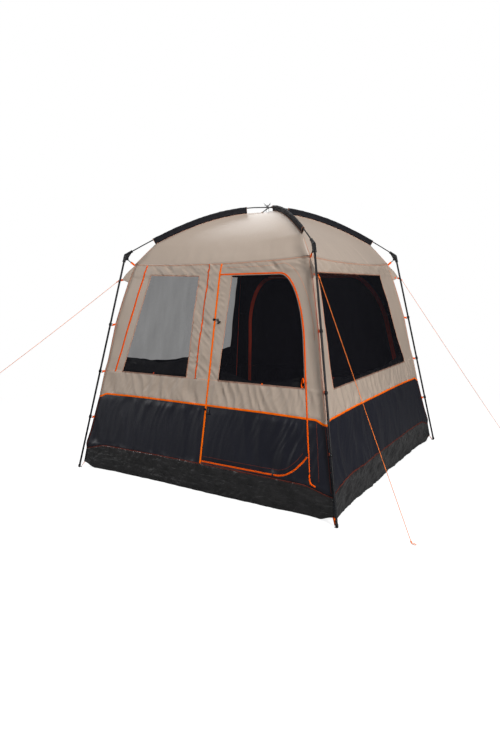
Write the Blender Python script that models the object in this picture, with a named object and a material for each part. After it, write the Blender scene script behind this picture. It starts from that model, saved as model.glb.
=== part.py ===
"""Family tent: a sewn cabin hung from two crossed roof rods on four leaning legs.

The frame is +Z up, with the origin on the ground under the crown. The front wall faces -Y.
Each wall is drawn in its own plane as (u, z): u runs to the right for someone who looks at
the wall from outside, and z is the height of the wall's outer face.
"""

import math

import bmesh
import bpy
from mathutils import Vector
from mathutils.geometry import tessellate_polygon

# Clearances and cloth
GAP = 0.0003
CLOTH = 0.003
MESH_CLOTH = 0.0015
TAPE = 0.0012
WEBBING = 0.0016

# Sewn body
TUB_FLOOR_HALF = 1.145
TUB_FLARE = 0.015
TUB_TOP_HALF = TUB_FLOOR_HALF + TUB_FLARE
TUB_TOP_Z = 0.215
BAND_Z = 0.655
SEAM_Z = 1.740
SEAM_HALF = 0.828

# Legs
FOOT_OUTSIDE_FLOOR = 0.075
FOOT_HALF = TUB_FLOOR_HALF + FOOT_OUTSIDE_FLOOR
LEG_RADIUS = 0.008
LEG_BORE_RADIUS = 0.007
LEG_IN_SOCKET = 0.045

# Roof rods
ROD_CROWN_Z = 2.238
ROD_MOUTH_OUTSIDE_SEAM = 0.011
ROD_MOUTH_HALF = SEAM_HALF + ROD_MOUTH_OUTSIDE_SEAM
ROD_MOUTH_Z = 1.859
ROD_BOW = 1.13
ROD_RADIUS = 0.00475
ROD_IN_SOCKET = 0.040
ROD_SECTIONS = 5
FERRULE_LENGTH = 0.060
FERRULE_WALL = 0.0010

# Elbows
SOCKET_SIDES = 16
SOCKET_CLEARANCE = 0.00035
LEG_SOCKET_LENGTH = 0.060
LEG_SOCKET_RADIUS = 0.0125
ROD_SOCKET_LENGTH = 0.068
ROD_SOCKET_RADIUS = 0.0105
ELBOW_ROUND = 0.014
EYE_BELOW_BEND = 0.030
EYE_FROM_AXIS = 0.0205
EYE_HALF_WIDTH = 0.007
EYE_HOLE_RADIUS = 0.0034
EYE_THICKNESS = 0.004
EYE_ROOT = 0.010
HOOK_WIRE_RADIUS = 0.0017
HOOK_TIP = 0.006
HOOK_SHARE = 0.55
HOOK_SEWN_SHARE = 0.12
HOOK_STRAP_HALF = 0.008

# Roof and pole sleeves
ROOF_DROP = 0.040
SLEEVE_END_HALF = 0.713
SLEEVE_START_HALF = 0.135
SLEEVE_CLOTH = 0.0012
SLEEVE_ROOM = 0.0010
SLEEVE_HEM_HALF = 0.0016
SLEEVE_FOOT_ROOM = 1.25
CROWN_PATCH_HALF = 0.030

# Front window and front door
WINDOW_TOP_Z = 1.640
SILL_Z = 0.852
FRONT_WINDOW_TOP = (-0.627, -0.122)
FRONT_WINDOW_BOTTOM = (-0.831, -0.144)
HINGE_TAPE_U = 0.072
HINGE_TAPE_HALF = 0.007
DOOR_TOP_Z = 1.640
DOOR_BOTTOM_Z = 0.247
DOOR_ARC_START_U = 0.600
DOOR_ARC_END = (0.845, 1.170)
DOOR_ARC_TOP_REACH = 0.120
DOOR_ARC_SIDE_REACH = 0.200
DOOR_SIDE_FOOT = (0.985, 0.274)
DOOR_CORNER = (0.962, 0.420)
DOOR_CORNER_START_U = 0.720
DOOR_CORNER_REACH = 0.115
DOOR_WINDOW_TOP_U = 0.186
DOOR_WINDOW_BOTTOM_U = 0.163
DOOR_FRAME = 0.016
ZIP_CURL_BEND = (0.993, 0.236)
ZIP_CURL = (1.038, 0.222)

# Side windows, each in its own wall
RIGHT_WINDOW_TOP = (-0.775, 0.550)
RIGHT_WINDOW_BOTTOM = (-0.868, 0.789)
LEFT_WINDOW_TOP = (-0.785, 0.650)
LEFT_WINDOW_BOTTOM = (-0.872, 0.840)
SIDE_SILL_Z = 0.838

# Back door
BACK_SILL_Z = 0.255
BACK_FOOT_U = 0.953
BACK_FOOT_CUT = 0.020
BACK_SHOULDER = (0.795, 1.150)
BACK_TOP_Z = 1.655
BACK_TOP_U = 0.420
BACK_ARC_SIDE_REACH = 0.250
BACK_ARC_TOP_REACH = 0.200

# Zips, trims and their hardware
ZIP_HALF = 0.007
ZIP_HEIGHT = 0.0018
ZIP_SPLIT = 0.0002
PIN_LINE_OUT = 0.0030
BAND_TAPE_HALF = 0.007
LAP_BOTTOM = GAP + 0.0001
SLIDER_LENGTH = 0.014
SLIDER_HEIGHT = 0.0040
PULL_LENGTH = 0.026
PULL_HALF = 0.0022
TOGGLE_U = 0.100
TOGGLE_UPPER_Z = 1.300
TOGGLE_LOWER_Z = 0.628
TOGGLE_LOOP = 0.026
TOGGLE_LOOP_HALF = 0.003
TOGGLE_BAR_RADIUS = 0.003
TOGGLE_BAR_HALF = 0.012
TOGGLE_TILT = math.radians(35)

# Storm flaps, dropped behind each mesh
FLAP_THICKNESS = 0.020
FLAP_HANG = 0.030
FLAP_END_RISE = 0.095
FLAP_MIDDLE_RISE = 0.055
FLAP_MARGIN = 0.012
MESH_LAP = 0.008

# Corner fittings
CLIP_HEIGHTS = (1.245, 0.845, 0.449)
CLIP_LENGTH = 0.022
CLIP_WALL = 0.0032
CLIP_TAIL = 0.010
CLIP_TAIL_HALF = 0.0026
CLIP_ARC = (math.radians(150), math.radians(420))
STRAP_HALF = 0.010
TAB_TOP_Z = 1.725
TAB_BOTTOM_Z = 1.598
TAB_TIP_Z = 1.622
TAB_TIP_TO_LEG = 0.042
GUY_LOOP_HALF = 0.008
GUY_LOOP_BEYOND_LEG = 0.014
GUY_LOOP_SEWN = 0.008
GUY_LOOP_DROP = 0.014
GUY_LOOP_BEND = 0.004
SEAM_TAPE = 0.008
FOOT_TAB_Z = (0.020, 0.044)
BAND_NOTCH = 0.0012
RING_RADIUS = 0.011
RING_WIRE_RADIUS = 0.002
RING_PIN_HEIGHT = 0.055
PIN_RADIUS = 0.0019

# Guylines and the crown's tie
GUY_RADIUS = 0.0015
GUY_POINTS = 24
GUY_SAG = 0.006
FRONT_RIGHT_GUY_END = (1.690, -1.191, 0.004)
BACK_RIGHT_GUY_END = (1.797, 1.797, 0.004)
FRONT_LEFT_GUY_END = (-1.663, -1.663, 0.832)
TIE_RADIUS = 0.0015
TIE_HALF_SPAN = 0.013
TIE_ARCH = 0.004
TIE_BOW = ((-0.040, 0.028), (-0.018, 0.008), (0, 0), (0.016, 0.007), (0.030, 0.024))

# What the sizes above give
SQRT2 = math.sqrt(2)
WALL_SLOPE = (TUB_TOP_HALF - SEAM_HALF) / (SEAM_Z - TUB_TOP_Z)
WALL_OUT = Vector((0, -1, WALL_SLOPE)).normalized()
ROD_MOUTH_D = ROD_MOUTH_HALF * SQRT2
ROD_RISE = ROD_CROWN_Z - ROD_MOUTH_Z
FERRULE_BORE = ROD_RADIUS + GAP
FERRULE_RADIUS = FERRULE_BORE + FERRULE_WALL
SLEEVE_BORE = FERRULE_RADIUS + SLEEVE_ROOM
DOOR_EDGE_U = HINGE_TAPE_U + HINGE_TAPE_HALF + GAP
MESH_FACE = -(CLOTH + GAP)
MESH_BACK = MESH_FACE - MESH_CLOTH
FRONT, RIGHT, BACK, LEFT = range(4)
CORNERS = {
    "front_left": (-1, -1),
    "front_right": (1, -1),
    "back_right": (1, 1),
    "back_left": (-1, 1),
}


def material(name, color, roughness, metallic=0.0):
    """A plain Principled material."""
    made = bpy.data.materials.new(name)
    made.use_nodes = True
    shader = made.node_tree.nodes["Principled BSDF"]
    shader.inputs["Base Color"].default_value = (*color, 1)
    shader.inputs["Roughness"].default_value = roughness
    shader.inputs["Metallic"].default_value = metallic
    made.diffuse_color = (*color, 1)
    return made


def add_node(name, solids, mat, pivot=(0, 0, 0), smooth=False):
    """One object from solids given as (points, faces), with its origin at pivot."""
    mesh = bpy.data.meshes.new(name)
    work = bmesh.new()
    for points, faces in solids:
        corners = [work.verts.new(Vector(p) - Vector(pivot)) for p in points]
        for face in faces:
            work.faces.new([corners[i] for i in face])
    bmesh.ops.recalc_face_normals(work, faces=work.faces)
    work.to_mesh(mesh)
    work.free()
    if smooth:
        mesh.shade_smooth()
        mesh.set_sharp_from_angle(angle=math.radians(35))
    made = bpy.data.objects.new(name, mesh)
    made.location = pivot
    made.data.materials.append(mat)
    bpy.context.scene.collection.objects.link(made)
    return made


def join(target, solids):
    """Joins more solids to an object, which stays one body."""
    extra = add_node(f"{target.name}_guide", solids, target.data.materials[0])
    extra.hide_render = True
    extra.display_type = "WIRE"
    union = target.modifiers.new("join", "BOOLEAN")
    union.operation = "UNION"
    union.solver = "EXACT"
    union.object = extra


def loft(rings, closed=False):
    """A solid through rings of as many points each, capped unless its ends join."""
    count = len(rings[0])
    points = [p for ring in rings for p in ring]
    faces = []
    for i in range(len(rings) if closed else len(rings) - 1):
        here = i * count
        there = (i + 1) % len(rings) * count
        for k in range(count):
            after = (k + 1) % count
            faces.append((here + k, here + after, there + after, there + k))
    if not closed:
        faces.append(tuple(range(count)))
        faces.append(tuple(range(len(points) - count, len(points))))
    return points, faces


def slab(outline, holes, near, far):
    """A flat solid with holes; near and far place an outline's point on its two faces."""
    loops = [outline, *holes]
    flat = [p for loop in loops for p in loop]
    triangles = tessellate_polygon([[Vector((*p, 0)) for p in loop] for loop in loops])
    size = len(flat)
    points = [near(*p) for p in flat] + [far(*p) for p in flat]
    faces = [tuple(t) for t in triangles] + [tuple(i + size for i in t) for t in triangles]
    start = 0
    for loop in loops:
        for k in range(len(loop)):
            a = start + k
            b = start + (k + 1) % len(loop)
            faces.append((a, b, b + size, a + size))
        start += len(loop)
    return points, faces


def circle(centre, across, up, radius, sides=8):
    """A ring of points in the plane of two unit directions."""
    turns = [2 * math.pi * k / sides for k in range(sides)]
    return [centre + radius * (math.cos(a) * across + math.sin(a) * up) for a in turns]


def sweep(points, radius, side, sides=8, closed=False):
    """A round wire along points that lie in a plane square to side."""
    rings = []
    last = len(points) - 1
    for i, point in enumerate(points):
        before = points[i - 1] if i or closed else points[i]
        after = points[(i + 1) % len(points)] if i < last or closed else points[i]
        along = (after - before).normalized()
        rings.append(circle(point, side, along.cross(side).normalized(), radius, sides))
    return loft(rings, closed)


def bezier(a, b, c, d, steps):
    """Points of a cubic curve in a wall's plane, without its last one."""
    made = []
    for i in range(steps):
        t = i / steps
        w = ((1 - t) ** 3, 3 * t * (1 - t) ** 2, 3 * t * t * (1 - t), t**3)
        made.append(tuple(sum(k * p[n] for k, p in zip(w, (a, b, c, d))) for n in (0, 1)))
    return made


def offset_line(line, distance):
    """A line in a wall's plane moved to its left, with mitred corners."""
    made = []
    for i, (u, z) in enumerate(line):
        sides = []
        for a, b in ((i - 1, i), (i, i + 1)):
            if a >= 0 and b < len(line):
                du, dz = line[b][0] - line[a][0], line[b][1] - line[a][1]
                long = math.hypot(du, dz)
                sides.append((-dz / long, du / long))
        nu = sum(s[0] for s in sides) / len(sides)
        nz = sum(s[1] for s in sides) / len(sides)
        grow = distance / (nu * nu + nz * nz)
        made.append((u + nu * grow, z + nz * grow))
    return made


def wall_half(z):
    """How far the walls' outer faces stand from the centre at a height."""
    return TUB_TOP_HALF - WALL_SLOPE * (z - TUB_TOP_Z)


def turned(point, side):
    """A point of the front wall turned to another side."""
    x, y, z = point
    for _ in range(side):
        x, y = -y, x
    return Vector((x, y, z))


def on_wall(side, u, z, out=0.0):
    """The point that stands `out` from a wall's outer face; its corners are mitred."""
    half = wall_half(z)
    y = -half + out * WALL_OUT.y
    if abs(abs(u) - half) < 1e-6:
        u = math.copysign(abs(y) - GAP, u)
    return turned((u, y, z + out * WALL_OUT.z), side)


def panel(side, outline, outer=0.0, inner=-CLOTH, holes=()):
    """A flat piece of a wall between two distances from its outer face."""
    return slab(
        outline,
        list(holes),
        lambda u, z: on_wall(side, u, z, outer),
        lambda u, z: on_wall(side, u, z, inner),
    )


def strip(side, line, left, right, bottom, height):
    """A tape along a line of a wall, between two offsets to the line's left."""
    rings = []
    for a, b in zip(offset_line(line, left), offset_line(line, right)):
        low = [on_wall(side, *p, bottom) for p in (a, b)]
        high = [on_wall(side, *p, bottom + height) for p in (b, a)]
        rings.append(low + high)
    return loft(rings)


def corner_point(corner, d, z, across=0.0):
    """A point by its distance along a corner's diagonal, its height and its side step."""
    cx, cy = CORNERS[corner]
    return Vector(((cx * d - cy * across) / SQRT2, (cy * d + cx * across) / SQRT2, z))


def across_of(corner):
    """The level direction square to a corner's diagonal."""
    return corner_point(corner, 0, 0, 1)


def rod_slope(d):
    t = d / ROD_MOUTH_D
    return -ROD_RISE / ROD_MOUTH_D * (2 * ROD_BOW * t - 4 * (ROD_BOW - 1) * t**3)


def rod_line(d):
    """A rod's height and slope at a distance along its diagonal, straight past its mouth."""
    if abs(d) <= ROD_MOUTH_D:
        t = d / ROD_MOUTH_D
        z = ROD_CROWN_Z - ROD_RISE * (ROD_BOW * t * t - (ROD_BOW - 1) * t**4)
        return z, rod_slope(d)
    mouth = math.copysign(ROD_MOUTH_D, d)
    return ROD_MOUTH_Z + rod_slope(mouth) * (d - mouth), rod_slope(mouth)


MOUTH_ALONG = Vector((1, rod_slope(ROD_MOUTH_D))).normalized()
BEND = Vector((ROD_MOUTH_D, ROD_MOUTH_Z)) + ROD_SOCKET_LENGTH * MOUTH_ALONG
LEG_UP = (BEND - Vector((FOOT_HALF * SQRT2, 0))).normalized()


def leg_d(z):
    """A leg's distance from the centre along its diagonal at a height."""
    return FOOT_HALF * SQRT2 + LEG_UP.x / LEG_UP.y * z


# The front door's edge, from the hinge seam's head over the top and down to its foot
DOOR_DOWN = Vector(DOOR_SIDE_FOOT) - Vector(DOOR_ARC_END)
DOOR_SIDE = (Vector(DOOR_ARC_END) - DOOR_DOWN.normalized() * DOOR_ARC_SIDE_REACH)[:]
DOOR_HEAD = [(DOOR_EDGE_U, DOOR_TOP_Z)] + bezier(
    (DOOR_ARC_START_U, DOOR_TOP_Z),
    (DOOR_ARC_START_U + DOOR_ARC_TOP_REACH, DOOR_TOP_Z),
    DOOR_SIDE,
    DOOR_ARC_END,
    10,
)
DOOR_FOOT = [(DOOR_EDGE_U, DOOR_BOTTOM_Z)] + bezier(
    (DOOR_CORNER_START_U, DOOR_BOTTOM_Z),
    (DOOR_CORNER_START_U + DOOR_CORNER_REACH, DOOR_BOTTOM_Z),
    (DOOR_CORNER[0] - DOOR_CORNER_REACH / 2, DOOR_CORNER[1] - DOOR_CORNER_REACH * 0.75),
    DOOR_CORNER,
    8,
)


def door_side_u(z):
    """The straight side zip at a height."""
    share = (z - DOOR_ARC_END[1]) / (DOOR_SIDE_FOOT[1] - DOOR_ARC_END[1])
    return DOOR_ARC_END[0] + share * (DOOR_SIDE_FOOT[0] - DOOR_ARC_END[0])


def side_down_to(z):
    """The door's edge from its head to a height on the side zip."""
    return [*DOOR_HEAD, DOOR_ARC_END, (door_side_u(z), z)]


DOOR_MEETS = (door_side_u(DOOR_CORNER[1]), DOOR_CORNER[1])
DOOR_LINE = [*side_down_to(DOOR_MEETS[1]), *reversed(DOOR_FOOT)]

# The back door's edge, from one foot over the top to the other
BACK_RISE = Vector(BACK_SHOULDER) - Vector((BACK_FOOT_U, BACK_SILL_Z))
BACK_SIDE = (Vector(BACK_SHOULDER) + BACK_RISE.normalized() * BACK_ARC_SIDE_REACH)[:]
BACK_HALF_LINE = [(BACK_FOOT_U, BACK_SILL_Z)] + bezier(
    BACK_SHOULDER,
    BACK_SIDE,
    (BACK_TOP_U + BACK_ARC_TOP_REACH, BACK_TOP_Z),
    (BACK_TOP_U, BACK_TOP_Z),
    8,
)


def mirrored(line):
    return [(-u, z) for u, z in reversed(line)]


BACK_HEAD = [(BACK_TOP_U, BACK_TOP_Z), (-BACK_TOP_U, BACK_TOP_Z)]
BACK_LINE = [*BACK_HALF_LINE, *BACK_HEAD, *mirrored(BACK_HALF_LINE)]


def back_u(z):
    """The back door's straight side at a height."""
    return BACK_FOOT_U + (z - BACK_SILL_Z) / BACK_RISE.y * BACK_RISE.x


def back_zip_line():
    """The back door's zip, which stops just above the door's lower edge."""
    foot_z = BACK_SILL_Z + ZIP_HALF
    start = (back_u(foot_z), foot_z)
    return [start, *BACK_LINE[1:-1], *mirrored([start])]


def edge_box(low, high, left, right):
    """A wall's stretch between two heights; a None end is the wall's own corner."""
    ends = []
    for z in (low, high):
        ends.append((-wall_half(z) if left is None else left, z))
        ends.append((wall_half(z) if right is None else right, z))
    return [ends[0], ends[1], ends[3], ends[2]]


# Materials by what they are
TAN = material("tan_polyester", (0.40, 0.33, 0.27), 0.75)
NAVY = material("dark_polyester", (0.016, 0.017, 0.026), 0.7)
TUB = material("coated_floor_sheet", (0.030, 0.030, 0.031), 0.35)
ORANGE = material("orange_trim", (1.0, 0.10, 0.0), 0.6)
NET = material("window_mesh", (0.02, 0.02, 0.022), 0.8)
BLACK_CLOTH = material("black_cloth", (0.010, 0.010, 0.014), 0.7)
POLE = material("coated_steel", (0.012, 0.013, 0.020), 0.4)
PLASTIC = material("black_plastic", (0.010, 0.010, 0.013), 0.45)
ROD = material("fibreglass", (0.015, 0.016, 0.022), 0.35)
STEEL = material("bright_steel", (0.55, 0.55, 0.56), 0.3, 1.0)


def add_legs():
    """Four straight tubes that stand on the ring pins' wire."""
    foot_z = 2 * RING_WIRE_RADIUS + GAP
    for corner in CORNERS:
        across = across_of(corner)
        top = BEND - LEG_UP * (LEG_SOCKET_LENGTH - LEG_IN_SOCKET)
        rings = {}
        for radius in (LEG_RADIUS, LEG_BORE_RADIUS):
            out = corner_point(corner, 1, 0)
            foot = corner_point(corner, leg_d(foot_z), foot_z)
            head = corner_point(corner, top.x, top.y)
            head_out = corner_point(corner, LEG_UP.y, -LEG_UP.x)
            rings[radius] = (
                circle(foot, across, out / LEG_UP.y, radius, SOCKET_SIDES),
                circle(head, across, head_out, radius, SOCKET_SIDES),
            )
        outer, bore = rings[LEG_RADIUS], rings[LEG_BORE_RADIUS]
        solid = loft([outer[0], outer[1], bore[1], bore[0]], closed=True)
        add_node(f"leg_{corner}", [solid], POLE, smooth=True)


def elbow_rings(corner):
    """An elbow's rings from the leg socket's floor, round its outside, to the rod's."""
    across = across_of(corner)
    turn = (LEG_UP - MOUTH_ALONG).normalized()
    stations = []

    def add(centre, along, radius):
        side = corner_point(corner, along.y, -along.x)
        at = corner_point(corner, *centre)
        stations.append(circle(at, across, side, radius, SOCKET_SIDES))

    leg_mouth = BEND - LEG_UP * LEG_SOCKET_LENGTH
    rod_mouth = BEND - MOUTH_ALONG * ROD_SOCKET_LENGTH
    leg_bore = LEG_RADIUS + SOCKET_CLEARANCE
    rod_bore = ROD_RADIUS + SOCKET_CLEARANCE
    add(leg_mouth + LEG_UP * (LEG_IN_SOCKET + GAP), LEG_UP, leg_bore)
    add(leg_mouth, LEG_UP, leg_bore)
    add(leg_mouth, LEG_UP, LEG_SOCKET_RADIUS)
    add(BEND - LEG_UP * ELBOW_ROUND, LEG_UP, LEG_SOCKET_RADIUS)
    add(BEND, turn, (LEG_SOCKET_RADIUS + ROD_SOCKET_RADIUS) / 2)
    add(BEND - MOUTH_ALONG * ELBOW_ROUND, -MOUTH_ALONG, ROD_SOCKET_RADIUS)
    add(rod_mouth, -MOUTH_ALONG, ROD_SOCKET_RADIUS)
    add(rod_mouth, -MOUTH_ALONG, rod_bore)
    add(rod_mouth + MOUTH_ALONG * (ROD_IN_SOCKET + GAP), -MOUTH_ALONG, rod_bore)
    return stations


def add_elbows():
    """Moulded elbows, each with an eye for the roof corner's hook."""
    for corner in CORNERS:
        elbow = add_node(f"elbow_{corner}", [loft(elbow_rings(corner))], PLASTIC, smooth=True)
        across = across_of(corner)
        inward = corner_point(corner, -LEG_UP.y, LEG_UP.x)
        upward = corner_point(corner, LEG_UP.x, LEG_UP.y)
        seat = BEND - LEG_UP * EYE_BELOW_BEND
        centre = corner_point(corner, seat.x, seat.y) + inward * EYE_FROM_AXIS
        root = EYE_ROOT - EYE_FROM_AXIS
        arc = [math.pi * (k / 8 - 0.5) for k in range(9)]
        outline = [(root, -EYE_HALF_WIDTH)]
        outline += [(EYE_HALF_WIDTH * math.cos(a), EYE_HALF_WIDTH * math.sin(a)) for a in arc]
        outline += [(root, EYE_HALF_WIDTH)]
        turns = [math.tau * k / 12 for k in range(12)]
        hole = [(EYE_HOLE_RADIUS * math.cos(a), EYE_HOLE_RADIUS * math.sin(a)) for a in turns]

        def place(height):
            return lambda p, q: centre + inward * p + across * q + upward * height

        half = EYE_THICKNESS / 2
        join(elbow, [slab(outline, [hole], place(half), place(-half))])


def rod_stations():
    """Distances along a rod's diagonal: every ferrule's ends and middle, and between them."""
    end = ROD_MOUTH_D + ROD_IN_SOCKET * MOUTH_ALONG.x
    joints = [end * (2 * k / ROD_SECTIONS - 1) for k in range(1, ROD_SECTIONS)]
    cuts = [-end, *joints, end]
    found = {-end, end, -ROD_MOUTH_D, ROD_MOUTH_D}
    for joint in joints:
        found |= {joint - FERRULE_LENGTH / 2, joint, joint + FERRULE_LENGTH / 2}
    for a, b in zip(cuts, cuts[1:]):
        found |= {a + (b - a) * k / 4 for k in (1, 2, 3)}
    for half in (SLEEVE_START_HALF, SLEEVE_END_HALF):
        found |= {half * SQRT2, -half * SQRT2}
    return sorted(found), joints


def rod_frame(corner, d, lift):
    """A rod's centre, side direction and upward direction at a station."""
    z, slope = rod_line(d)
    share = max(0.0, 1 - (d / ROD_MOUTH_D) ** 2) ** 2
    up = corner_point(corner, -slope, 1).normalized()
    return corner_point(corner, d, z + lift * share), across_of(corner), up


ROD_LIFTS = {"front_left": ROD_RADIUS + GAP, "front_right": -ROD_RADIUS - GAP}
OPPOSITE = {"back_right": "front_left", "back_left": "front_right"}


def add_rods():
    """Two crossed rods of jointed sections, with a metal ferrule over each joint."""
    stations, joints = rod_stations()
    starts = {joint - FERRULE_LENGTH / 2 for joint in joints}
    ends = {joint + FERRULE_LENGTH / 2 for joint in joints}
    for number, (corner, lift) in enumerate(ROD_LIFTS.items(), 1):
        rings = []
        radius = ROD_RADIUS
        for d in stations:
            centre, across, up = rod_frame(corner, d, lift)
            rings.append(circle(centre, across, up, radius))
            if d in starts or d in ends:
                radius = FERRULE_RADIUS if d in starts else ROD_RADIUS
                rings.append(circle(centre, across, up, radius))
        add_node(f"roof_rod_{number}", [loft(rings)], ROD, smooth=True)


def ridge(d):
    """The roof's ridge under a rod's sleeve, as distance along the diagonal and height."""
    z, slope = rod_line(d)
    down = Vector((slope, -1)).normalized() * ROOF_DROP
    return d + down.x, z + down.y


def roof_stations():
    stations, _ = rod_stations()
    return [d for d in stations if CROWN_PATCH_HALF * SQRT2 < d <= SLEEVE_END_HALF * SQRT2]


def square(half, z):
    """The four points of a level square about the tent's axis."""
    return [Vector((x * half, y * half, z)) for x, y in CORNERS.values()]


def add_roof():
    """The roof, which follows its rods from the crown down to the walls' seam."""
    crown_z = ridge(0)[1]
    line = [(CROWN_PATCH_HALF, crown_z)]
    line += [(d / SQRT2, z) for d, z in (ridge(d) for d in roof_stations())]
    line += [(SEAM_HALF, SEAM_Z + GAP)]
    outer = []
    inner = []
    for i, (half, z) in enumerate(line):
        ahead = Vector(line[min(i + 1, len(line) - 1)]) - Vector(line[max(i - 1, 0)])
        inward = Vector((ahead.y, -ahead.x)).normalized() * CLOTH
        if i == 0:
            inward = Vector((0, -CLOTH))
        if i == len(line) - 1:
            inward = Vector((-CLOTH / abs(ahead.normalized().y), 0))
        outer.append(square(half, z))
        inner.append(square(half + inward.x, z + inward.y))
    add_node("roof", [loft([*outer, *reversed(inner)])], TAN)


def add_sleeves():
    """A sleeve over each half of each rod, sewn down to the roof's ridge."""
    stations, _ = rod_stations()
    arc = [math.radians(a) for a in range(-20, 201, 44)]
    hem = [math.radians(a) for a in (230, 310)]
    radius = SLEEVE_BORE + SLEEVE_CLOTH
    for name in CORNERS:
        corner = name if name in ROD_LIFTS else OPPOSITE[name]
        sign = 1 if name in ROD_LIFTS else -1
        start, end = SLEEVE_START_HALF * SQRT2, SLEEVE_END_HALF * SQRT2
        outer = []
        inner = []
        for d in [s for s in stations if start <= sign * s <= end]:
            centre, across, up = rod_frame(corner, d, ROD_LIFTS[corner])
            foot = rod_frame(corner, d, 0)[0] - up * (ROOF_DROP - GAP)
            ring = [centre + radius * (math.cos(a) * across + math.sin(a) * up) for a in arc]
            outer.append([*ring, foot - across * SLEEVE_HEM_HALF, foot + across * SLEEVE_HEM_HALF])
            bore = [(a, SLEEVE_BORE) for a in arc]
            bore += [(a, SLEEVE_BORE * SLEEVE_FOOT_ROOM) for a in hem]
            inner.append([centre + r * (math.cos(a) * across + math.sin(a) * up) for a, r in bore])
        tube = loft([*outer, *reversed(inner)], closed=True)
        add_node(f"pole_sleeve_{name}", [tube], BLACK_CLOTH, smooth=True)


def add_tub():
    """The coated floor with its sides turned up to the lower walls."""
    top = TUB_TOP_Z - GAP
    rings = [
        square(TUB_FLOOR_HALF, 0),
        square(TUB_TOP_HALF, top),
        square(TUB_TOP_HALF + WALL_OUT.y * CLOTH, top - WALL_OUT.z * CLOTH),
        square(TUB_FLOOR_HALF - CLOTH, CLOTH),
    ]
    add_node("floor_tub", [loft(rings)], TUB)


def trapezium(top, bottom, low, high, grow=0.0):
    """A window's outline, from its ends at its head and its sill."""
    return [
        (bottom[0] - grow, low - grow),
        (bottom[1] + grow, low - grow),
        (top[1] + grow, high + grow),
        (top[0] - grow, high + grow),
    ]


def side_window(side, grow=0.0):
    top = RIGHT_WINDOW_TOP if side == RIGHT else LEFT_WINDOW_TOP
    bottom = RIGHT_WINDOW_BOTTOM if side == RIGHT else LEFT_WINDOW_BOTTOM
    return trapezium(top, bottom, SIDE_SILL_Z, WINDOW_TOP_Z, grow)


def front_window(grow=0.0):
    return trapezium(FRONT_WINDOW_TOP, FRONT_WINDOW_BOTTOM, SILL_Z, WINDOW_TOP_Z, grow)


def door_window(grow=0.0):
    """The front door's mesh opening, whose head and side follow the zip."""
    inset = offset_line(side_down_to(SILL_Z), -(DOOR_FRAME - grow))
    side = [p for p in inset[1:-1] if p[1] > SILL_Z]
    low = SILL_Z - grow
    foot = (inset[-1][0] + (inset[-1][1] - low) * DOOR_DOWN.x / -DOOR_DOWN.y, low)
    head = (DOOR_WINDOW_TOP_U - grow, DOOR_TOP_Z - DOOR_FRAME + grow)
    return [(DOOR_WINDOW_BOTTOM_U - grow, low), head, *side, foot]


def add_side_walls():
    """The right and left walls, each a dark lower panel and a tan upper one with a window."""
    for name, side in (("right", RIGHT), ("left", LEFT)):
        lower = edge_box(TUB_TOP_Z, BAND_Z - GAP, None, None)
        upper = edge_box(BAND_Z, SEAM_Z - GAP, None, None)
        add_node(f"{name}_lower_wall", [panel(side, lower)], NAVY)
        add_node(f"{name}_upper_wall", [panel(side, upper, holes=[side_window(side)])], TAN)
        mesh = panel(side, side_window(side, MESH_LAP), MESH_FACE, MESH_BACK)
        add_node(f"{name}_window_mesh", [mesh], NET)


def add_front_wall():
    """The front wall round its window and its door."""
    seam_u = DOOR_EDGE_U - GAP
    head = SEAM_Z - GAP
    opening = offset_line(side_down_to(BAND_Z), GAP)
    upper = [(-wall_half(BAND_Z), BAND_Z), (seam_u, BAND_Z), (seam_u, opening[0][1]), *opening]
    upper += [(wall_half(BAND_Z), BAND_Z), (wall_half(head), head), (-wall_half(head), head)]
    add_node("front_upper_wall", [panel(FRONT, upper, holes=[front_window()])], TAN)
    mesh = panel(FRONT, front_window(MESH_LAP), MESH_FACE, MESH_BACK)
    add_node("front_window_mesh", [mesh], NET)

    low_band = BAND_Z - GAP
    around = offset_line([(door_side_u(low_band), low_band), DOOR_MEETS, *reversed(DOOR_FOOT)], GAP)
    lower = [(-wall_half(low_band), low_band), (-wall_half(TUB_TOP_Z), TUB_TOP_Z)]
    lower += [(wall_half(TUB_TOP_Z), TUB_TOP_Z), (wall_half(low_band), low_band), *around]
    lower += [(seam_u, around[-1][1]), (seam_u, low_band)]
    add_node("front_lower_wall", [panel(FRONT, lower)], NAVY)


def add_back_wall():
    """The back wall round its arched door."""
    arch = offset_line(BACK_LINE, -GAP)
    above = [p for p in arch if p[1] > BAND_Z]
    side_u = back_u(BAND_Z) + GAP
    head = SEAM_Z - GAP
    upper = [(-side_u, BAND_Z), (-wall_half(BAND_Z), BAND_Z), (-wall_half(head), head)]
    upper += [(wall_half(head), head), (wall_half(BAND_Z), BAND_Z), (side_u, BAND_Z), *above]
    add_node("back_upper_wall", [panel(BACK, upper)], TAN)
    low_band = BAND_Z - GAP
    side_u = back_u(low_band) + GAP
    foot_u = BACK_FOOT_U + GAP
    foot_z = BACK_SILL_Z - GAP
    lower = [(-side_u, low_band), (-wall_half(low_band), low_band)]
    lower += [(-wall_half(TUB_TOP_Z), TUB_TOP_Z), (wall_half(TUB_TOP_Z), TUB_TOP_Z)]
    lower += [(wall_half(low_band), low_band), (side_u, low_band)]
    lower += [(foot_u, foot_z), (-foot_u, foot_z)]
    add_node("back_lower_wall", [panel(BACK, lower)], NAVY)


def door_pivot():
    return on_wall(FRONT, DOOR_EDGE_U, DOOR_BOTTOM_Z, PIN_LINE_OUT)


def back_pivot():
    return on_wall(BACK, 0, BACK_SILL_Z)


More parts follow.
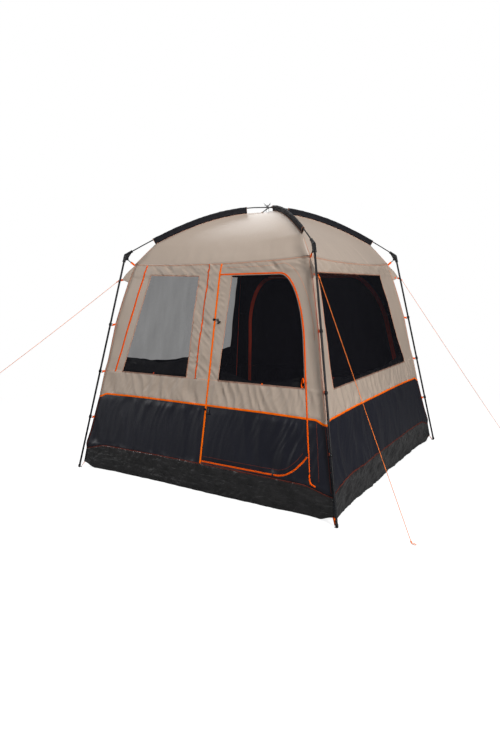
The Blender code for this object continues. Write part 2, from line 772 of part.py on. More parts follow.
def add_front_door():
    """The D-shaped door: tan frame with a mesh, dark lower half, and its half of the zip."""
    pivot = door_pivot()
    edge = DOOR_EDGE_U + GAP
    head = [(edge, DOOR_TOP_Z), *side_down_to(BAND_Z)[1:]]
    upper = [*head, (edge, BAND_Z)]
    add_node("front_door_upper", [panel(FRONT, upper, holes=[door_window()])], TAN, pivot)
    low_band = BAND_Z - GAP
    foot = [(edge, DOOR_BOTTOM_Z), *DOOR_FOOT[1:]]
    lower = [(edge, low_band), (door_side_u(low_band), low_band), DOOR_MEETS, *reversed(foot)]
    add_node("front_door_lower", [panel(FRONT, lower)], NAVY, pivot)
    mesh = panel(FRONT, door_window(MESH_LAP), MESH_FACE, MESH_BACK)
    add_node("front_door_mesh", [mesh], NET, pivot)

    inner_line = [(edge, DOOR_TOP_Z), *DOOR_LINE[1:-1], (edge, DOOR_BOTTOM_Z)]
    tape = strip(FRONT, inner_line, -ZIP_SPLIT, -ZIP_HALF, GAP, ZIP_HEIGHT)
    zip_half = add_node("front_door_zip", [tape], ORANGE, pivot)
    band = [(edge, BAND_Z), (door_side_u(BAND_Z + BAND_TAPE_HALF) - ZIP_HALF / 2, BAND_Z)]
    join(zip_half, [strip(FRONT, band, BAND_TAPE_HALF, -BAND_TAPE_HALF, LAP_BOTTOM, TAPE)])
    right = door_side_u(SILL_Z) - DOOR_FRAME - FLAP_MARGIN
    flap = storm_flap(FRONT, DOOR_WINDOW_BOTTOM_U + FLAP_MARGIN, right, SILL_Z)
    add_node("front_door_storm_flap", [flap], BLACK_CLOTH, pivot)


def add_back_door():
    """The arched door and its half of the zip."""
    pivot = back_pivot()
    above = [p for p in BACK_LINE if p[1] > BAND_Z]
    upper = [(-back_u(BAND_Z), BAND_Z), (back_u(BAND_Z), BAND_Z), *above]
    add_node("back_door_upper", [panel(BACK, upper)], TAN, pivot)
    low_band = BAND_Z - GAP
    cut_z = BACK_SILL_Z + BACK_FOOT_CUT
    cut_u = back_u(cut_z)
    lower = [(-back_u(low_band), low_band), (-cut_u, cut_z), (-cut_u, BACK_SILL_Z)]
    lower += [(cut_u, BACK_SILL_Z), (cut_u, cut_z), (back_u(low_band), low_band)]
    add_node("back_door_lower", [panel(BACK, lower)], NAVY, pivot)
    tape = strip(BACK, back_zip_line(), ZIP_HALF, ZIP_SPLIT, GAP, ZIP_HEIGHT)
    zip_half = add_node("back_door_zip", [tape], ORANGE, pivot)
    end = back_u(BAND_Z + BAND_TAPE_HALF) - ZIP_HALF / 2
    band = [(-end, BAND_Z), (end, BAND_Z)]
    join(zip_half, [strip(BACK, band, BAND_TAPE_HALF, -BAND_TAPE_HALF, LAP_BOTTOM, TAPE)])


def mitre(corner, z, out):
    """The point of a corner that stands `out` from both of its walls."""
    half = wall_half(z) - out * WALL_OUT.y
    cx, cy = CORNERS[corner]
    return Vector((cx * half, cy * half, z + out * WALL_OUT.z))


def band_round(first, last, corners):
    """The band over the walls' seam, from one wall round two corners to another."""
    stations = [first, *(lambda z, out, c=corner: mitre(c, z, out) for corner in corners), last]
    low, high = BAND_Z - BAND_TAPE_HALF, BAND_Z + BAND_TAPE_HALF
    section = [(low, GAP), (high, GAP), (high, GAP + TAPE), (low, GAP + TAPE)]
    return loft([[at(z, out) for z, out in section] for at in stations])


def add_trims():
    """The walls' halves of the zips, the hinge seam's tape and the band over the seam."""
    start = DOOR_EDGE_U + GAP
    curl = bezier(DOOR_SIDE_FOOT, ZIP_CURL_BEND, ZIP_CURL_BEND, ZIP_CURL, 4)
    tail_z = DOOR_MEETS[1] - DOOR_CORNER_REACH / 2
    tail = [(door_side_u(z), z) for z in (tail_z, tail_z - ZIP_HALF)]
    frame_line = [(start, DOOR_TOP_Z), *DOOR_HEAD[1:], DOOR_ARC_END, *tail, *curl, ZIP_CURL]
    outer = offset_line(frame_line, ZIP_HALF)
    split = offset_line(frame_line, ZIP_SPLIT)
    whole = offset_line(frame_line, -ZIP_HALF)
    rings = []
    for i, (u, z) in enumerate(frame_line):
        side_by_side = (outer[i], whole[i] if z < tail_z else split[i])
        low = [on_wall(FRONT, *p, GAP) for p in side_by_side]
        high = [on_wall(FRONT, *p, GAP + ZIP_HEIGHT) for p in reversed(side_by_side)]
        rings.append(low + high)
    frame_zip = add_node("front_zip_frame", [loft(rings)], ORANGE)
    foot_line = [*reversed(DOOR_FOOT[1:]), (start, DOOR_BOTTOM_Z)]
    under = [p for p in foot_line if p[1] < tail_z - 2 * ZIP_HALF]
    under.insert(0, (door_side_u(under[0][1]), under[0][1] + ZIP_HALF))
    join(frame_zip, [strip(FRONT, under, ZIP_HALF, ZIP_SPLIT, LAP_BOTTOM, ZIP_HEIGHT)])
    back_tape = strip(BACK, back_zip_line(), -ZIP_SPLIT, -ZIP_HALF, GAP, ZIP_HEIGHT)
    add_node("back_zip_frame", [back_tape], ORANGE)

    past_zip = ZIP_HALF + GAP * 4
    right = band_round(
        lambda z, out: on_wall(FRONT, door_side_u(z) + past_zip, z, out),
        lambda z, out: on_wall(BACK, -back_u(z) - past_zip, z, out),
        ("front_right", "back_right"),
    )
    add_node("seam_trim_right", [right], ORANGE)
    left = band_round(
        lambda z, out: on_wall(BACK, back_u(z) + past_zip, z, out),
        lambda z, out: on_wall(FRONT, HINGE_TAPE_U, z, out),
        ("back_left", "front_left"),
    )
    trim = add_node("seam_trim_left", [left], ORANGE)
    seam = [(HINGE_TAPE_U, SEAM_Z - GAP), (HINGE_TAPE_U, TUB_TOP_Z)]
    join(trim, [strip(FRONT, seam, HINGE_TAPE_HALF, -HINGE_TAPE_HALF, LAP_BOTTOM, TAPE)])


def storm_flap(side, left, right, sill):
    """A dropped flap behind a sill, whose upper edge dips to its tie in the middle."""
    middle = (left + right) / 2
    outline = [
        (left, sill - FLAP_HANG),
        (right, sill - FLAP_HANG),
        (right, sill + FLAP_END_RISE),
        (middle, sill + FLAP_MIDDLE_RISE),
        (left, sill + FLAP_END_RISE),
    ]
    face = MESH_BACK - GAP
    return panel(side, outline, face, face - FLAP_THICKNESS)


def add_storm_flaps():
    """The flaps of the three windows in the walls."""
    flaps = (
        ("front", FRONT, FRONT_WINDOW_BOTTOM, SILL_Z),
        ("right", RIGHT, RIGHT_WINDOW_BOTTOM, SIDE_SILL_Z),
        ("left", LEFT, LEFT_WINDOW_BOTTOM, SIDE_SILL_Z),
    )
    for name, side, (left, right), sill in flaps:
        flap = storm_flap(side, left + FLAP_MARGIN, right - FLAP_MARGIN, sill)
        add_node(f"{name}_storm_flap", [flap], BLACK_CLOTH)


def slider(name, side, start, end, away):
    """A zip's slider on the wall's half of the zip, with its pull lying along the zip."""
    line = (Vector(end) - Vector(start)).normalized()
    left = Vector((-line.y, line.x)) * away
    base = GAP + ZIP_HEIGHT + GAP
    middle = (ZIP_SPLIT + ZIP_HALF) / 2
    rear, front = -SLIDER_LENGTH / 2, SLIDER_LENGTH / 2
    pull = [middle - PULL_HALF, middle + PULL_HALF]
    outline = [(front, ZIP_SPLIT), (front, ZIP_HALF), (rear, ZIP_HALF), (rear, pull[1])]
    outline += [(-PULL_LENGTH, pull[1]), (-PULL_LENGTH, pull[0]), (rear, pull[0]), (rear, ZIP_SPLIT)]
    flat = [(Vector(start) + line * a + left * s)[:] for a, s in outline]
    solid = panel(side, flat, base + SLIDER_HEIGHT, base)
    add_node(name, [solid], ORANGE, on_wall(side, *start, base))


def add_sliders():
    """One slider on each zip of the two doors."""
    side_z = DOOR_SIDE_FOOT[1] + PULL_LENGTH
    slider("front_side_slider", FRONT, (door_side_u(side_z), side_z), DOOR_ARC_END, -1)
    foot_start = (DOOR_CORNER_START_U - SLIDER_LENGTH, DOOR_BOTTOM_Z)
    slider("front_foot_slider", FRONT, foot_start, (DOOR_EDGE_U, DOOR_BOTTOM_Z), 1)
    slider("back_slider", BACK, (-BACK_TOP_U, BACK_TOP_Z), (BACK_TOP_U, BACK_TOP_Z), 1)


def add_toggles():
    """Two toggles by the hinge seam, which hold the rolled door."""
    for name, z, tilt in (
        ("upper", TOGGLE_UPPER_Z, TOGGLE_TILT),
        ("lower", TOGGLE_LOWER_Z, 0.0),
    ):
        hang = Vector((math.sin(tilt), -math.cos(tilt)))
        cross = Vector((hang.y, -hang.x))
        base = GAP
        pivot_flat = Vector((TOGGLE_U, z))

        def flat(along, side):
            return (pivot_flat + hang * along + cross * side)[:]

        loop = [flat(0, -TOGGLE_LOOP_HALF), flat(TOGGLE_LOOP, -TOGGLE_LOOP_HALF)]
        loop += [flat(TOGGLE_LOOP, TOGGLE_LOOP_HALF), flat(0, TOGGLE_LOOP_HALF)]
        pivot = on_wall(FRONT, TOGGLE_U, z, base)
        strap_part = panel(FRONT, loop, base + WEBBING, base)
        toggle = add_node(f"door_toggle_{name}", [strap_part], PLASTIC, pivot)
        ends = []
        for side in (-TOGGLE_BAR_HALF, TOGGLE_BAR_HALF):
            along = TOGGLE_LOOP + TOGGLE_BAR_RADIUS / 2
            ends.append(on_wall(FRONT, *flat(along, side), base + TOGGLE_BAR_RADIUS))
        way = (ends[1] - ends[0]).normalized()
        out = WALL_OUT
        join(toggle, [loft([circle(e, out, way.cross(out), TOGGLE_BAR_RADIUS) for e in ends])])


def clip_solid(corner, z):
    """A snap clip round a leg, open to one side, with a tail for its webbing."""
    inner = LEG_RADIUS + SOCKET_CLEARANCE
    outer = inner + CLIP_WALL
    a, b = CLIP_ARC
    steps = 12
    turns = [a + (b - a) * k / steps for k in range(steps + 1)]
    tail_end = outer + CLIP_TAIL
    tail_at = math.asin(CLIP_TAIL_HALF / outer)
    ring = []
    for turn in turns:
        past_tail = turn > math.pi + tail_at
        if past_tail and not any(p[0] == -tail_end for p in ring):
            ring += [(-outer, CLIP_TAIL_HALF), (-tail_end, CLIP_TAIL_HALF)]
            ring += [(-tail_end, -CLIP_TAIL_HALF), (-outer, -CLIP_TAIL_HALF)]
        if abs(turn - math.pi) > tail_at:
            ring.append((outer * math.cos(turn), outer * math.sin(turn)))
    ring += [(inner * math.cos(turn), inner * math.sin(turn)) for turn in reversed(turns)]
    across = across_of(corner)
    outward = corner_point(corner, LEG_UP.y, -LEG_UP.x)
    upward = corner_point(corner, LEG_UP.x, LEG_UP.y)
    centre = corner_point(corner, leg_d(z), z)

    def place(height):
        return lambda p, q: centre + outward * p + across * q + upward * height

    return slab(ring, [], place(CLIP_LENGTH / 2), place(-CLIP_LENGTH / 2))


def strap(corner, points, half, half_thick, flat):
    """Webbing through (d, z, across) points, with its width along the direction flat."""
    rings = []
    places = [corner_point(corner, *p) for p in points]
    for i, place in enumerate(places):
        along = places[min(i + 1, len(places) - 1)] - places[max(i - 1, 0)]
        thick = along.cross(flat).normalized() * half_thick
        wide = flat * half
        corners = ((-1, -1), (1, -1), (1, 1), (-1, 1))
        rings.append([place + wide * w + thick * t for w, t in corners])
    return loft(rings)


def edge_d(z, off=GAP):
    """A corner's outer edge, as its distance along the diagonal at a height."""
    if z < TUB_TOP_Z:
        half = TUB_FLOOR_HALF + (TUB_TOP_HALF - TUB_FLOOR_HALF) * z / TUB_TOP_Z
    else:
        half = wall_half(z)
    return half * SQRT2 + off


def tab_tip():
    """The gusset's tip, just short of the leg, as (d, z)."""
    return leg_d(TAB_TIP_Z) - TAB_TIP_TO_LEG, TAB_TIP_Z


def corner_outline():
    """A corner's webbing in the corner's plane: seam tape, tabs, gusset and hook strap."""
    ring_d = leg_d(0) - 2 * RING_RADIUS - RING_WIRE_RADIUS - GAP
    low, high = FOOT_TAB_Z
    outline = [(edge_d(low), low), (ring_d, RING_WIRE_RADIUS), (ring_d, 2 * STRAP_HALF)]
    outline += [(edge_d(high, SEAM_TAPE), high), (edge_d(TUB_TOP_Z, SEAM_TAPE), TUB_TOP_Z)]
    clip_reach = LEG_RADIUS + SOCKET_CLEARANCE + CLIP_WALL + CLIP_TAIL / 2
    for z in sorted(CLIP_HEIGHTS):
        low, high = z - STRAP_HALF, z + STRAP_HALF
        outline += [(edge_d(low, SEAM_TAPE), low), (leg_d(low) - clip_reach, low)]
        outline += [(leg_d(high) - clip_reach, high), (edge_d(high, SEAM_TAPE), high)]
    outline += [(edge_d(TAB_BOTTOM_Z, SEAM_TAPE), TAB_BOTTOM_Z), tab_tip()]
    outline.append((edge_d(TAB_TOP_Z, SEAM_TAPE), TAB_TOP_Z))
    seat = hook_seat()
    way = (Vector((SEAM_HALF * SQRT2, SEAM_Z)) - seat).normalized()
    wide = Vector((way.y, -way.x)) * HOOK_STRAP_HALF
    outline += [(hook_end() - wide)[:], (hook_end() + wide)[:]]
    outline += [(edge_d(SEAM_Z, WEBBING), SEAM_Z), (edge_d(TAB_TOP_Z), TAB_TOP_Z)]
    proud = (GAP + TAPE) * SQRT2 + GAP
    low, high = BAND_Z - BAND_TAPE_HALF - BAND_NOTCH, BAND_Z + BAND_TAPE_HALF + BAND_NOTCH
    outline += [(edge_d(high), high), (edge_d(high, proud), high)]
    outline += [(edge_d(low, proud), low), (edge_d(low), low), (edge_d(TUB_TOP_Z), TUB_TOP_Z)]
    return outline


def add_corner_fittings():
    """At each corner, its sewn webbing with clips, hook and guyline loop, and its ring pin."""
    half = WEBBING / 2
    for corner in CORNERS:
        sewn = slab(
            corner_outline(),
            [],
            lambda d, z: corner_point(corner, d, z, half),
            lambda d, z: corner_point(corner, d, z, -half),
        )
        webbing = add_node(f"corner_webbing_{corner}", [sewn], ORANGE)
        fittings = [clip_solid(corner, z) for z in CLIP_HEIGHTS]
        join(webbing, [*fittings, elbow_hook(corner), guy_loop(corner)])
        add_ring_pin(corner)


def hook_seat():
    """The hole of an elbow's eye, as (d, z)."""
    inward = Vector((-LEG_UP.y, LEG_UP.x))
    return BEND - LEG_UP * EYE_BELOW_BEND + inward * EYE_FROM_AXIS


def hook_line():
    """A hook's route in the corner's plane: up through the eye, over it and down again."""
    seat = hook_seat()
    inward = Vector((-LEG_UP.y, LEG_UP.x))
    bearing = EYE_HOLE_RADIUS - HOOK_WIRE_RADIUS - GAP
    clear = EYE_HALF_WIDTH + HOOK_WIRE_RADIUS + GAP * 4
    over = EYE_THICKNESS / 2 + HOOK_WIRE_RADIUS + GAP * 2
    middle = (bearing + clear) / 2
    half = clear - middle
    turns = [math.pi * (1 - k / 6) for k in range(7)]
    route = [seat + inward * bearing - LEG_UP * (over + HOOK_TIP)]
    route += [
        seat + inward * (middle + half * math.cos(a)) + LEG_UP * (over + half * math.sin(a) * 0.8)
        for a in turns
    ]
    route.append(seat + inward * clear - LEG_UP * over)
    route += [hook_end(), hook_end(HOOK_SEWN_SHARE)]
    return route


def hook_end(further=0.0):
    """Where a hook meets its webbing, or a share of its distance further in."""
    seat = hook_seat()
    return seat + (Vector((SEAM_HALF * SQRT2, SEAM_Z)) - seat) * (HOOK_SHARE + further)


def elbow_hook(corner):
    route = [corner_point(corner, p.x, p.y) for p in hook_line()]
    return sweep(route, HOOK_WIRE_RADIUS, across_of(corner))


def add_ring_pin(corner):
    """A ring on the ground, with a pin that stands up the leg's bore."""
    across = across_of(corner)
    out = corner_point(corner, 1, 0)
    foot = leg_d(0)
    centre = corner_point(corner, foot - RING_RADIUS, RING_WIRE_RADIUS)
    turns = [math.tau * k / 16 for k in range(16)]
    loop = [centre + RING_RADIUS * (math.cos(a) * out + math.sin(a) * across) for a in turns]
    ring = sweep(loop, RING_WIRE_RADIUS, Vector((0, 0, 1)), closed=True)
    pin = add_node(f"ring_pin_{corner}", [ring], STEEL, smooth=True)
    side = corner_point(corner, LEG_UP.y, -LEG_UP.x)
    low = circle(corner_point(corner, foot, RING_WIRE_RADIUS), across, out, PIN_RADIUS)
    top = corner_point(corner, leg_d(RING_PIN_HEIGHT), RING_PIN_HEIGHT)
    join(pin, [loft([low, circle(top, across, side, PIN_RADIUS)])])


GUY_SIDES = {"front_left": -1, "front_right": 1, "back_right": 1, "back_left": 1}


def guy_loop_end(corner):
    """Where a corner's guyline starts, past the leg and beside it."""
    z = TAB_TIP_Z - GUY_LOOP_DROP
    side = LEG_RADIUS + 4 * GAP + WEBBING
    return leg_d(z) + GUY_LOOP_BEYOND_LEG, z, side * GUY_SIDES[corner]


def guy_loop(corner):
    end_d, end_z, side = guy_loop_end(corner)
    tip_d, tip_z = tab_tip()
    beside = leg_d(tip_z) - LEG_RADIUS - GUY_LOOP_BEND
    bend = (beside, tip_z - GUY_LOOP_BEND, side)
    line = [(tip_d - GUY_LOOP_SEWN, tip_z, 0), bend, (end_d, end_z, side)]
    return strap(corner, line, GUY_LOOP_HALF, WEBBING / 2, Vector((0, 0, 1)))


def guyline(corner, end):
    """A taut line, as a POLY curve from its webbing loop to its end."""
    d, z, side = guy_loop_end(corner)
    out = corner_point(corner, 1, 0)
    loop_end = corner_point(corner, d, z, side)
    end = Vector(end)
    lean = (end - loop_end).normalized().dot(out)
    start = loop_end + out * (GAP + GUY_RADIUS * math.sqrt(1 - lean * lean))
    name = f"guyline_{corner}"
    curve = bpy.data.curves.new(name, "CURVE")
    curve.dimensions = "3D"
    curve.bevel_depth = GUY_RADIUS
    curve.bevel_resolution = 2
    curve.use_fill_caps = True
    spline = curve.splines.new("POLY")
    spline.points.add(GUY_POINTS - 1)
    for i, point in enumerate(spline.points):
        t = i / (GUY_POINTS - 1)
        at = start.lerp(end, t) - Vector((0, 0, 4 * GUY_SAG * t * (1 - t)))
        point.co = (*at, 1)
    curve.materials.append(ORANGE)
    made = bpy.data.objects.new(name, curve)
    bpy.context.scene.collection.objects.link(made)


def add_guylines():
    guyline("front_left", FRONT_LEFT_GUY_END)
    guyline("front_right", FRONT_RIGHT_GUY_END)
    guyline("back_right", BACK_RIGHT_GUY_END)


def add_crown_tie():
    """A cord from the roof's crown round both rods, tied in a bow on top."""
    side = Vector((0, 1, 0))
    low = ridge(0)[1] + GAP
    high = ROD_CROWN_Z + 2 * ROD_RADIUS + 2 * GAP
    turns = [math.pi * k / 8 for k in range(9)]
    arch = [Vector((TIE_HALF_SPAN, 0, low))]
    arch += [Vector((TIE_HALF_SPAN * math.cos(a), 0, high + TIE_ARCH * math.sin(a))) for a in turns]
    arch += [Vector((-TIE_HALF_SPAN, 0, low))]
    top = high + TIE_ARCH + TIE_RADIUS / 2
    bow = [Vector((x, 0, top + z)) for x, z in TIE_BOW]
    tie = add_node("crown_tie", [sweep(arch, TIE_RADIUS, side, sides=6)], BLACK_CLOTH)
    join(tie, [sweep(bow, TIE_RADIUS * 0.9, side, sides=6)])


def main():
    for old in list(bpy.data.objects):
        bpy.data.objects.remove(old, do_unlink=True)
    add_legs()
    add_elbows()
    add_rods()
    add_roof()
    add_sleeves()
    add_tub()
    add_side_walls()
    add_front_wall()
    add_back_wall()
    add_front_door()
    add_back_door()
    add_trims()
    add_storm_flaps()
    add_sliders()
    add_toggles()
    add_corner_fittings()
    add_guylines()
    add_crown_tie()


main()
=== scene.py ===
"""Looks of the family tent: sewn cloth, zips, webbing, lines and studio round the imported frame.

Each wall is drawn in its own plane as (u, z), u to the right for someone outside. skin() puts
such a point on the hung cloth, with its pull towards the corners and its folds.
"""

import math

import bpy
import numpy as np
from mathutils import Matrix, Vector, noise
from mathutils.geometry import delaunay_2d_cdt
from mathutils.kdtree import KDTree


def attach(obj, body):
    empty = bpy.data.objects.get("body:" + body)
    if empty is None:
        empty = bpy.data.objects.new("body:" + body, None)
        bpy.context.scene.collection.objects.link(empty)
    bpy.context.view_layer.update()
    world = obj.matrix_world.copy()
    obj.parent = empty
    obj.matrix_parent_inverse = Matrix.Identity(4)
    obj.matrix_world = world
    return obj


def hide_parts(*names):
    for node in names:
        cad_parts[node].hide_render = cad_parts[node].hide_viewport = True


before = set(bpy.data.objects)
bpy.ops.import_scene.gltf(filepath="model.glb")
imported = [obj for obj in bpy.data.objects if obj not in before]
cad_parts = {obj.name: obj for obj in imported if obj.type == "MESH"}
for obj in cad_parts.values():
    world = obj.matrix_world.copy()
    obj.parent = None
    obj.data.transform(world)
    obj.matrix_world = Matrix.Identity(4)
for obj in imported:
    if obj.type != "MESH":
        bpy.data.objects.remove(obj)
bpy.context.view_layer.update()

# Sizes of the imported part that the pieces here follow, in metres
GAP = 0.0003
FLOOR_HALF = 1.145
TUB_HALF = 1.160
TUB_Z = 0.215
BAND_Z = 0.655
SEAM_Z = 1.740
SEAM_HALF = 0.828
SLOPE = (TUB_HALF - SEAM_HALF) / (SEAM_Z - TUB_Z)
FOOT_HALF = 1.220
LEG_RADIUS = 0.008
CROWN_Z = 2.238
MOUTH_HALF = 0.839
MOUTH_Z = 1.859
ROD_BOW = 1.13
ROD_RADIUS = 0.00475
ROD_SOCKET = 0.068
LEG_SOCKET = 0.060
SLEEVE_START = 0.135
SLEEVE_END = 0.713
ROOF_DROP = 0.040
SQRT2 = math.sqrt(2)
FRONT, RIGHT, BACK, LEFT = range(4)
SIDE_NAMES = ("front", "right", "back", "left")
CORNERS = {
    "front_left": (-1, -1),
    "front_right": (1, -1),
    "back_right": (1, 1),
    "back_left": (-1, 1),
}
DOOR_EDGE = 0.0793
DOOR_TOP = 1.640
DOOR_BOTTOM = 0.247
SILL_Z = 0.852
SIDE_SILL = 0.838
WINDOW_TOP = 1.640
HINGE_U = 0.072
BACK_SILL = 0.255
BACK_TOP = 1.655
BACK_TOP_HALF = 0.420
BACK_FOOT = 0.953
SHOULDER = 1.280
TOGGLE_U = 0.100
TOGGLE_HEIGHTS = (1.300, 0.628)
CLIP_HEIGHTS = (1.245, 0.845, 0.449)
TAB_TIP = (1.258, 1.622)
GUY_RADIUS = 0.0018
GUY_LOOP = 0.014
CLIP_BACK = 0.0115
CLIP_BAR = CLIP_BACK + 0.009
RING_RADIUS, RING_WIRE = 0.011, 0.002
EYE_BELOW, EYE_ASIDE, EYE_HALF = 0.030, 0.0205, 0.007
EYE_HOLE, EYE_THICKNESS = 0.0034, 0.004
HOOK_WIRE = 0.0017

# The cloth's thickness, the half width kept free for the band, and sizes of the mesh
CLOTH = 0.0008
BAND_STOP = 0.0075
FINE_MESH, COARSE_MESH = 0.012, 0.018
UP = Vector((0, 0, 1))


def step(a, b, x):
    """0 before a, 1 after b and smooth between them, for a < b or a > b."""
    t = min(1.0, max(0.0, (x - a) / (b - a)))
    return t * t * (3 - 2 * t)


def shares(count):
    """Even steps from 0 to 1."""
    return [k / count for k in range(count + 1)]


def link(made):
    bpy.context.scene.collection.objects.link(made)
    return made


def camera():
    """The photograph's viewpoint: f = 546.7 px in a frame of 500 x 750."""
    yaw, pitch, roll = (math.radians(a) for a in (32.412, -8.774, -0.662))
    level = math.cos(pitch)
    forward = Vector((-math.sin(yaw) * level, math.cos(yaw) * level, math.sin(pitch)))
    flat_right = forward.cross(UP).normalized()
    flat_up = flat_right.cross(forward)
    right = flat_right * math.cos(roll) + flat_up * math.sin(roll)
    up = flat_up * math.cos(roll) - flat_right * math.sin(roll)
    data = bpy.data.cameras.new("camera")
    data.sensor_width = 36
    data.lens = 26.24
    made = link(bpy.data.objects.new("camera", data))
    turn = Matrix((right, up, -forward)).transposed().to_4x4()
    made.matrix_world = Matrix.Translation((2.5384, -4.3194, 1.5168)) @ turn
    bpy.context.scene.camera = made


camera()


# Materials


def rgb(r, g, b):
    """A colour given in 0 to 255 as the shader's linear numbers."""
    made = []
    for c in (r, g, b):
        c /= 255
        made.append(c / 12.92 if c <= 0.04045 else ((c + 0.055) / 1.055) ** 2.4)
    return (*made, 1)


def grey(level):
    return (level, level, level, 1)


def tone(color, share):
    return (*(min(1.0, c * share) for c in color[:3]), 1)


class Nodes:
    """Short ways to add and link the nodes of a tree."""

    def __init__(self, tree):
        self.tree = tree

    def node(self, kind, links=(), **values):
        made = self.tree.nodes.new("ShaderNode" + kind)
        for name, value in values.items():
            if hasattr(made, name):
                setattr(made, name, value)
            else:
                made.inputs[name.replace("_", " ")].default_value = value
        for socket, source in dict(links).items():
            self.tree.links.new(source, made.inputs[socket])
        return made

    def mix(self, share, first, second):
        return self.node("MixShader", {0: share, 1: first.outputs[0], 2: second.outputs[0]})

    def seen(self):
        """Whether the camera looks straight at the surface."""
        return self.node("LightPath").outputs["Is Camera Ray"]


class Shade(Nodes):
    """A material, with patterns for its shader."""

    def __init__(self, name, **fixed):
        self.material = bpy.data.materials.new(name)
        self.material.use_nodes = True
        super().__init__(self.material.node_tree)
        self.shader = self.tree.nodes["Principled BSDF"]
        for socket, value in fixed.items():
            self.shader.inputs[socket.replace("_", " ")].default_value = value

    def done(self, **sources):
        for socket, source in sources.items():
            self.tree.links.new(source, self.shader.inputs[socket.replace("_", " ")])
        return self.material

    def show(self, surface):
        """Puts another surface in the shader's place."""
        output = self.tree.nodes["Material Output"]
        self.tree.links.new(surface.outputs[0], output.inputs["Surface"])

    def place(self, scale=(1, 1, 1), uv=True, turn=0.0):
        source = self.node("TexCoord").outputs["UV" if uv else "Object"]
        return self.node("Mapping", {"Vector": source}, Scale=scale, Rotation=(0, 0, turn)).outputs[0]

    def noise(self, where, scale, detail=3.0, rough=0.55):
        made = self.node("TexNoise", {"Vector": where}, Scale=scale, Detail=detail, Roughness=rough)
        return made.outputs[0]

    def wave(self, where, scale, direction="X", distortion=0.0):
        made = self.node(
            "TexWave", {"Vector": where}, Scale=scale, Distortion=distortion, bands_direction=direction
        )
        return made.outputs[1]

    def math(self, kind, a, b, clamp=False):
        made = self.node("Math", operation=kind, use_clamp=clamp)
        for i, value in enumerate((a, b)):
            if isinstance(value, (int, float)):
                made.inputs[i].default_value = value
            else:
                self.tree.links.new(value, made.inputs[i])
        return made.outputs[0]

    def sum(self, a, a_share, b, b_share):
        """Two patterns added, each with its share."""
        return self.math("ADD", self.math("MULTIPLY", a, a_share), self.math("MULTIPLY", b, b_share))

    def ramp(self, source, *stops):
        made = self.node("ValToRGB", {"Fac": source})
        for spot, (at, color) in zip(made.color_ramp.elements, stops):
            spot.position, spot.color = at, color
        return made.outputs[0]

    def dyed(self, source, color, *stops):
        """A colour's darker and lighter tones by a pattern."""
        return self.ramp(source, *((at, tone(color, share)) for at, share in stops))

    def spread(self, source, low, high):
        """A 0 to 1 value stretched to another range."""
        return self.node("MapRange", {"Value": source}, To_Min=low, To_Max=high).outputs[0]

    def bump(self, source, distance, strength, under=None):
        links = {"Height": source} if under is None else {"Height": source, "Normal": under}
        return self.node("Bump", links, Distance=distance, Strength=strength).outputs[0]


def cloth_material(name, color, rough, sheen, contrast, pucker=0.0006, gloss=0.30):
    """Woven polyester: a plain weave, uneven dye, soft handling creases and dusty patches."""
    m = Shade(name, Sheen_Weight=sheen, Sheen_Roughness=0.45, Specular_IOR_Level=gloss)
    uv = m.place()
    patches = m.noise(uv, 2.3, 4)
    mixed = m.sum(patches, 0.8, m.noise(uv, 160, 2), 0.2)
    threads = m.math("MULTIPLY", m.wave(uv, 190, "X"), m.wave(uv, 190, "Y"))
    weave = m.bump(threads, 0.00012, 0.5)
    crease = m.noise(m.place((14, 4, 1)), 1.6, 5, 0.6)
    return m.done(
        Base_Color=m.dyed(mixed, color, (0.3, 1 - contrast), (0.7, 1 + contrast)),
        Roughness=m.spread(patches, rough - 0.07, rough + 0.07),
        Normal=m.bump(crease, pucker * 6, 0.55, weave),
    )


def tub_material():
    """Coated floor sheet: dark, smooth and crackled all over with sharp small creases."""
    m = Shade("coated_sheet", Coat_Weight=0.34, Coat_Roughness=0.19, Specular_IOR_Level=0.20)
    uv = m.place()
    crumple = m.node(
        "TexVoronoi", {"Vector": m.place((1, 2.2, 1))}, Scale=13, feature="DISTANCE_TO_EDGE"
    )
    ridges = m.math("POWER", m.math("MULTIPLY", crumple.outputs[0], 2.2, True), 0.5)
    soft = m.noise(uv, 9, 6, 0.65)
    fine = m.noise(uv, 55, 4, 0.6)
    streaks = m.noise(m.place((2.0, 9.0, 1), turn=0.42), 3.2, 5, 0.62)
    creased = m.bump(streaks, 0.020, 0.75, m.bump(fine, 0.0016, 0.5))
    return m.done(
        Normal=m.bump(m.sum(ridges, 0.35, soft, 1.0), 0.010, 0.6, creased),
        Base_Color=m.ramp(soft, (0.34, rgb(19, 19, 20)), (0.66, rgb(39, 38, 39))),
        Roughness=m.spread(fine, 0.30, 0.52),
    )


def net_material():
    """Fine black netting: half of what is behind shows between the threads."""
    m = Shade("window_net", Base_Color=rgb(18, 18, 24), Roughness=0.8, Specular_IOR_Level=0.1)
    where = m.place()
    threads = m.math("MAXIMUM", m.wave(where, 115, "X"), m.wave(where, 115, "Y"))
    drift = m.noise(m.place((4.5, 1.1, 1)), 1.7, 3)
    share = m.math("ADD", m.sum(threads, 0.16, drift, 0.17), 0.350, True)
    m.show(m.mix(share, m.node("BsdfTransparent"), m.shader))
    return m.done(Normal=m.bump(threads, 0.0003, 0.4))


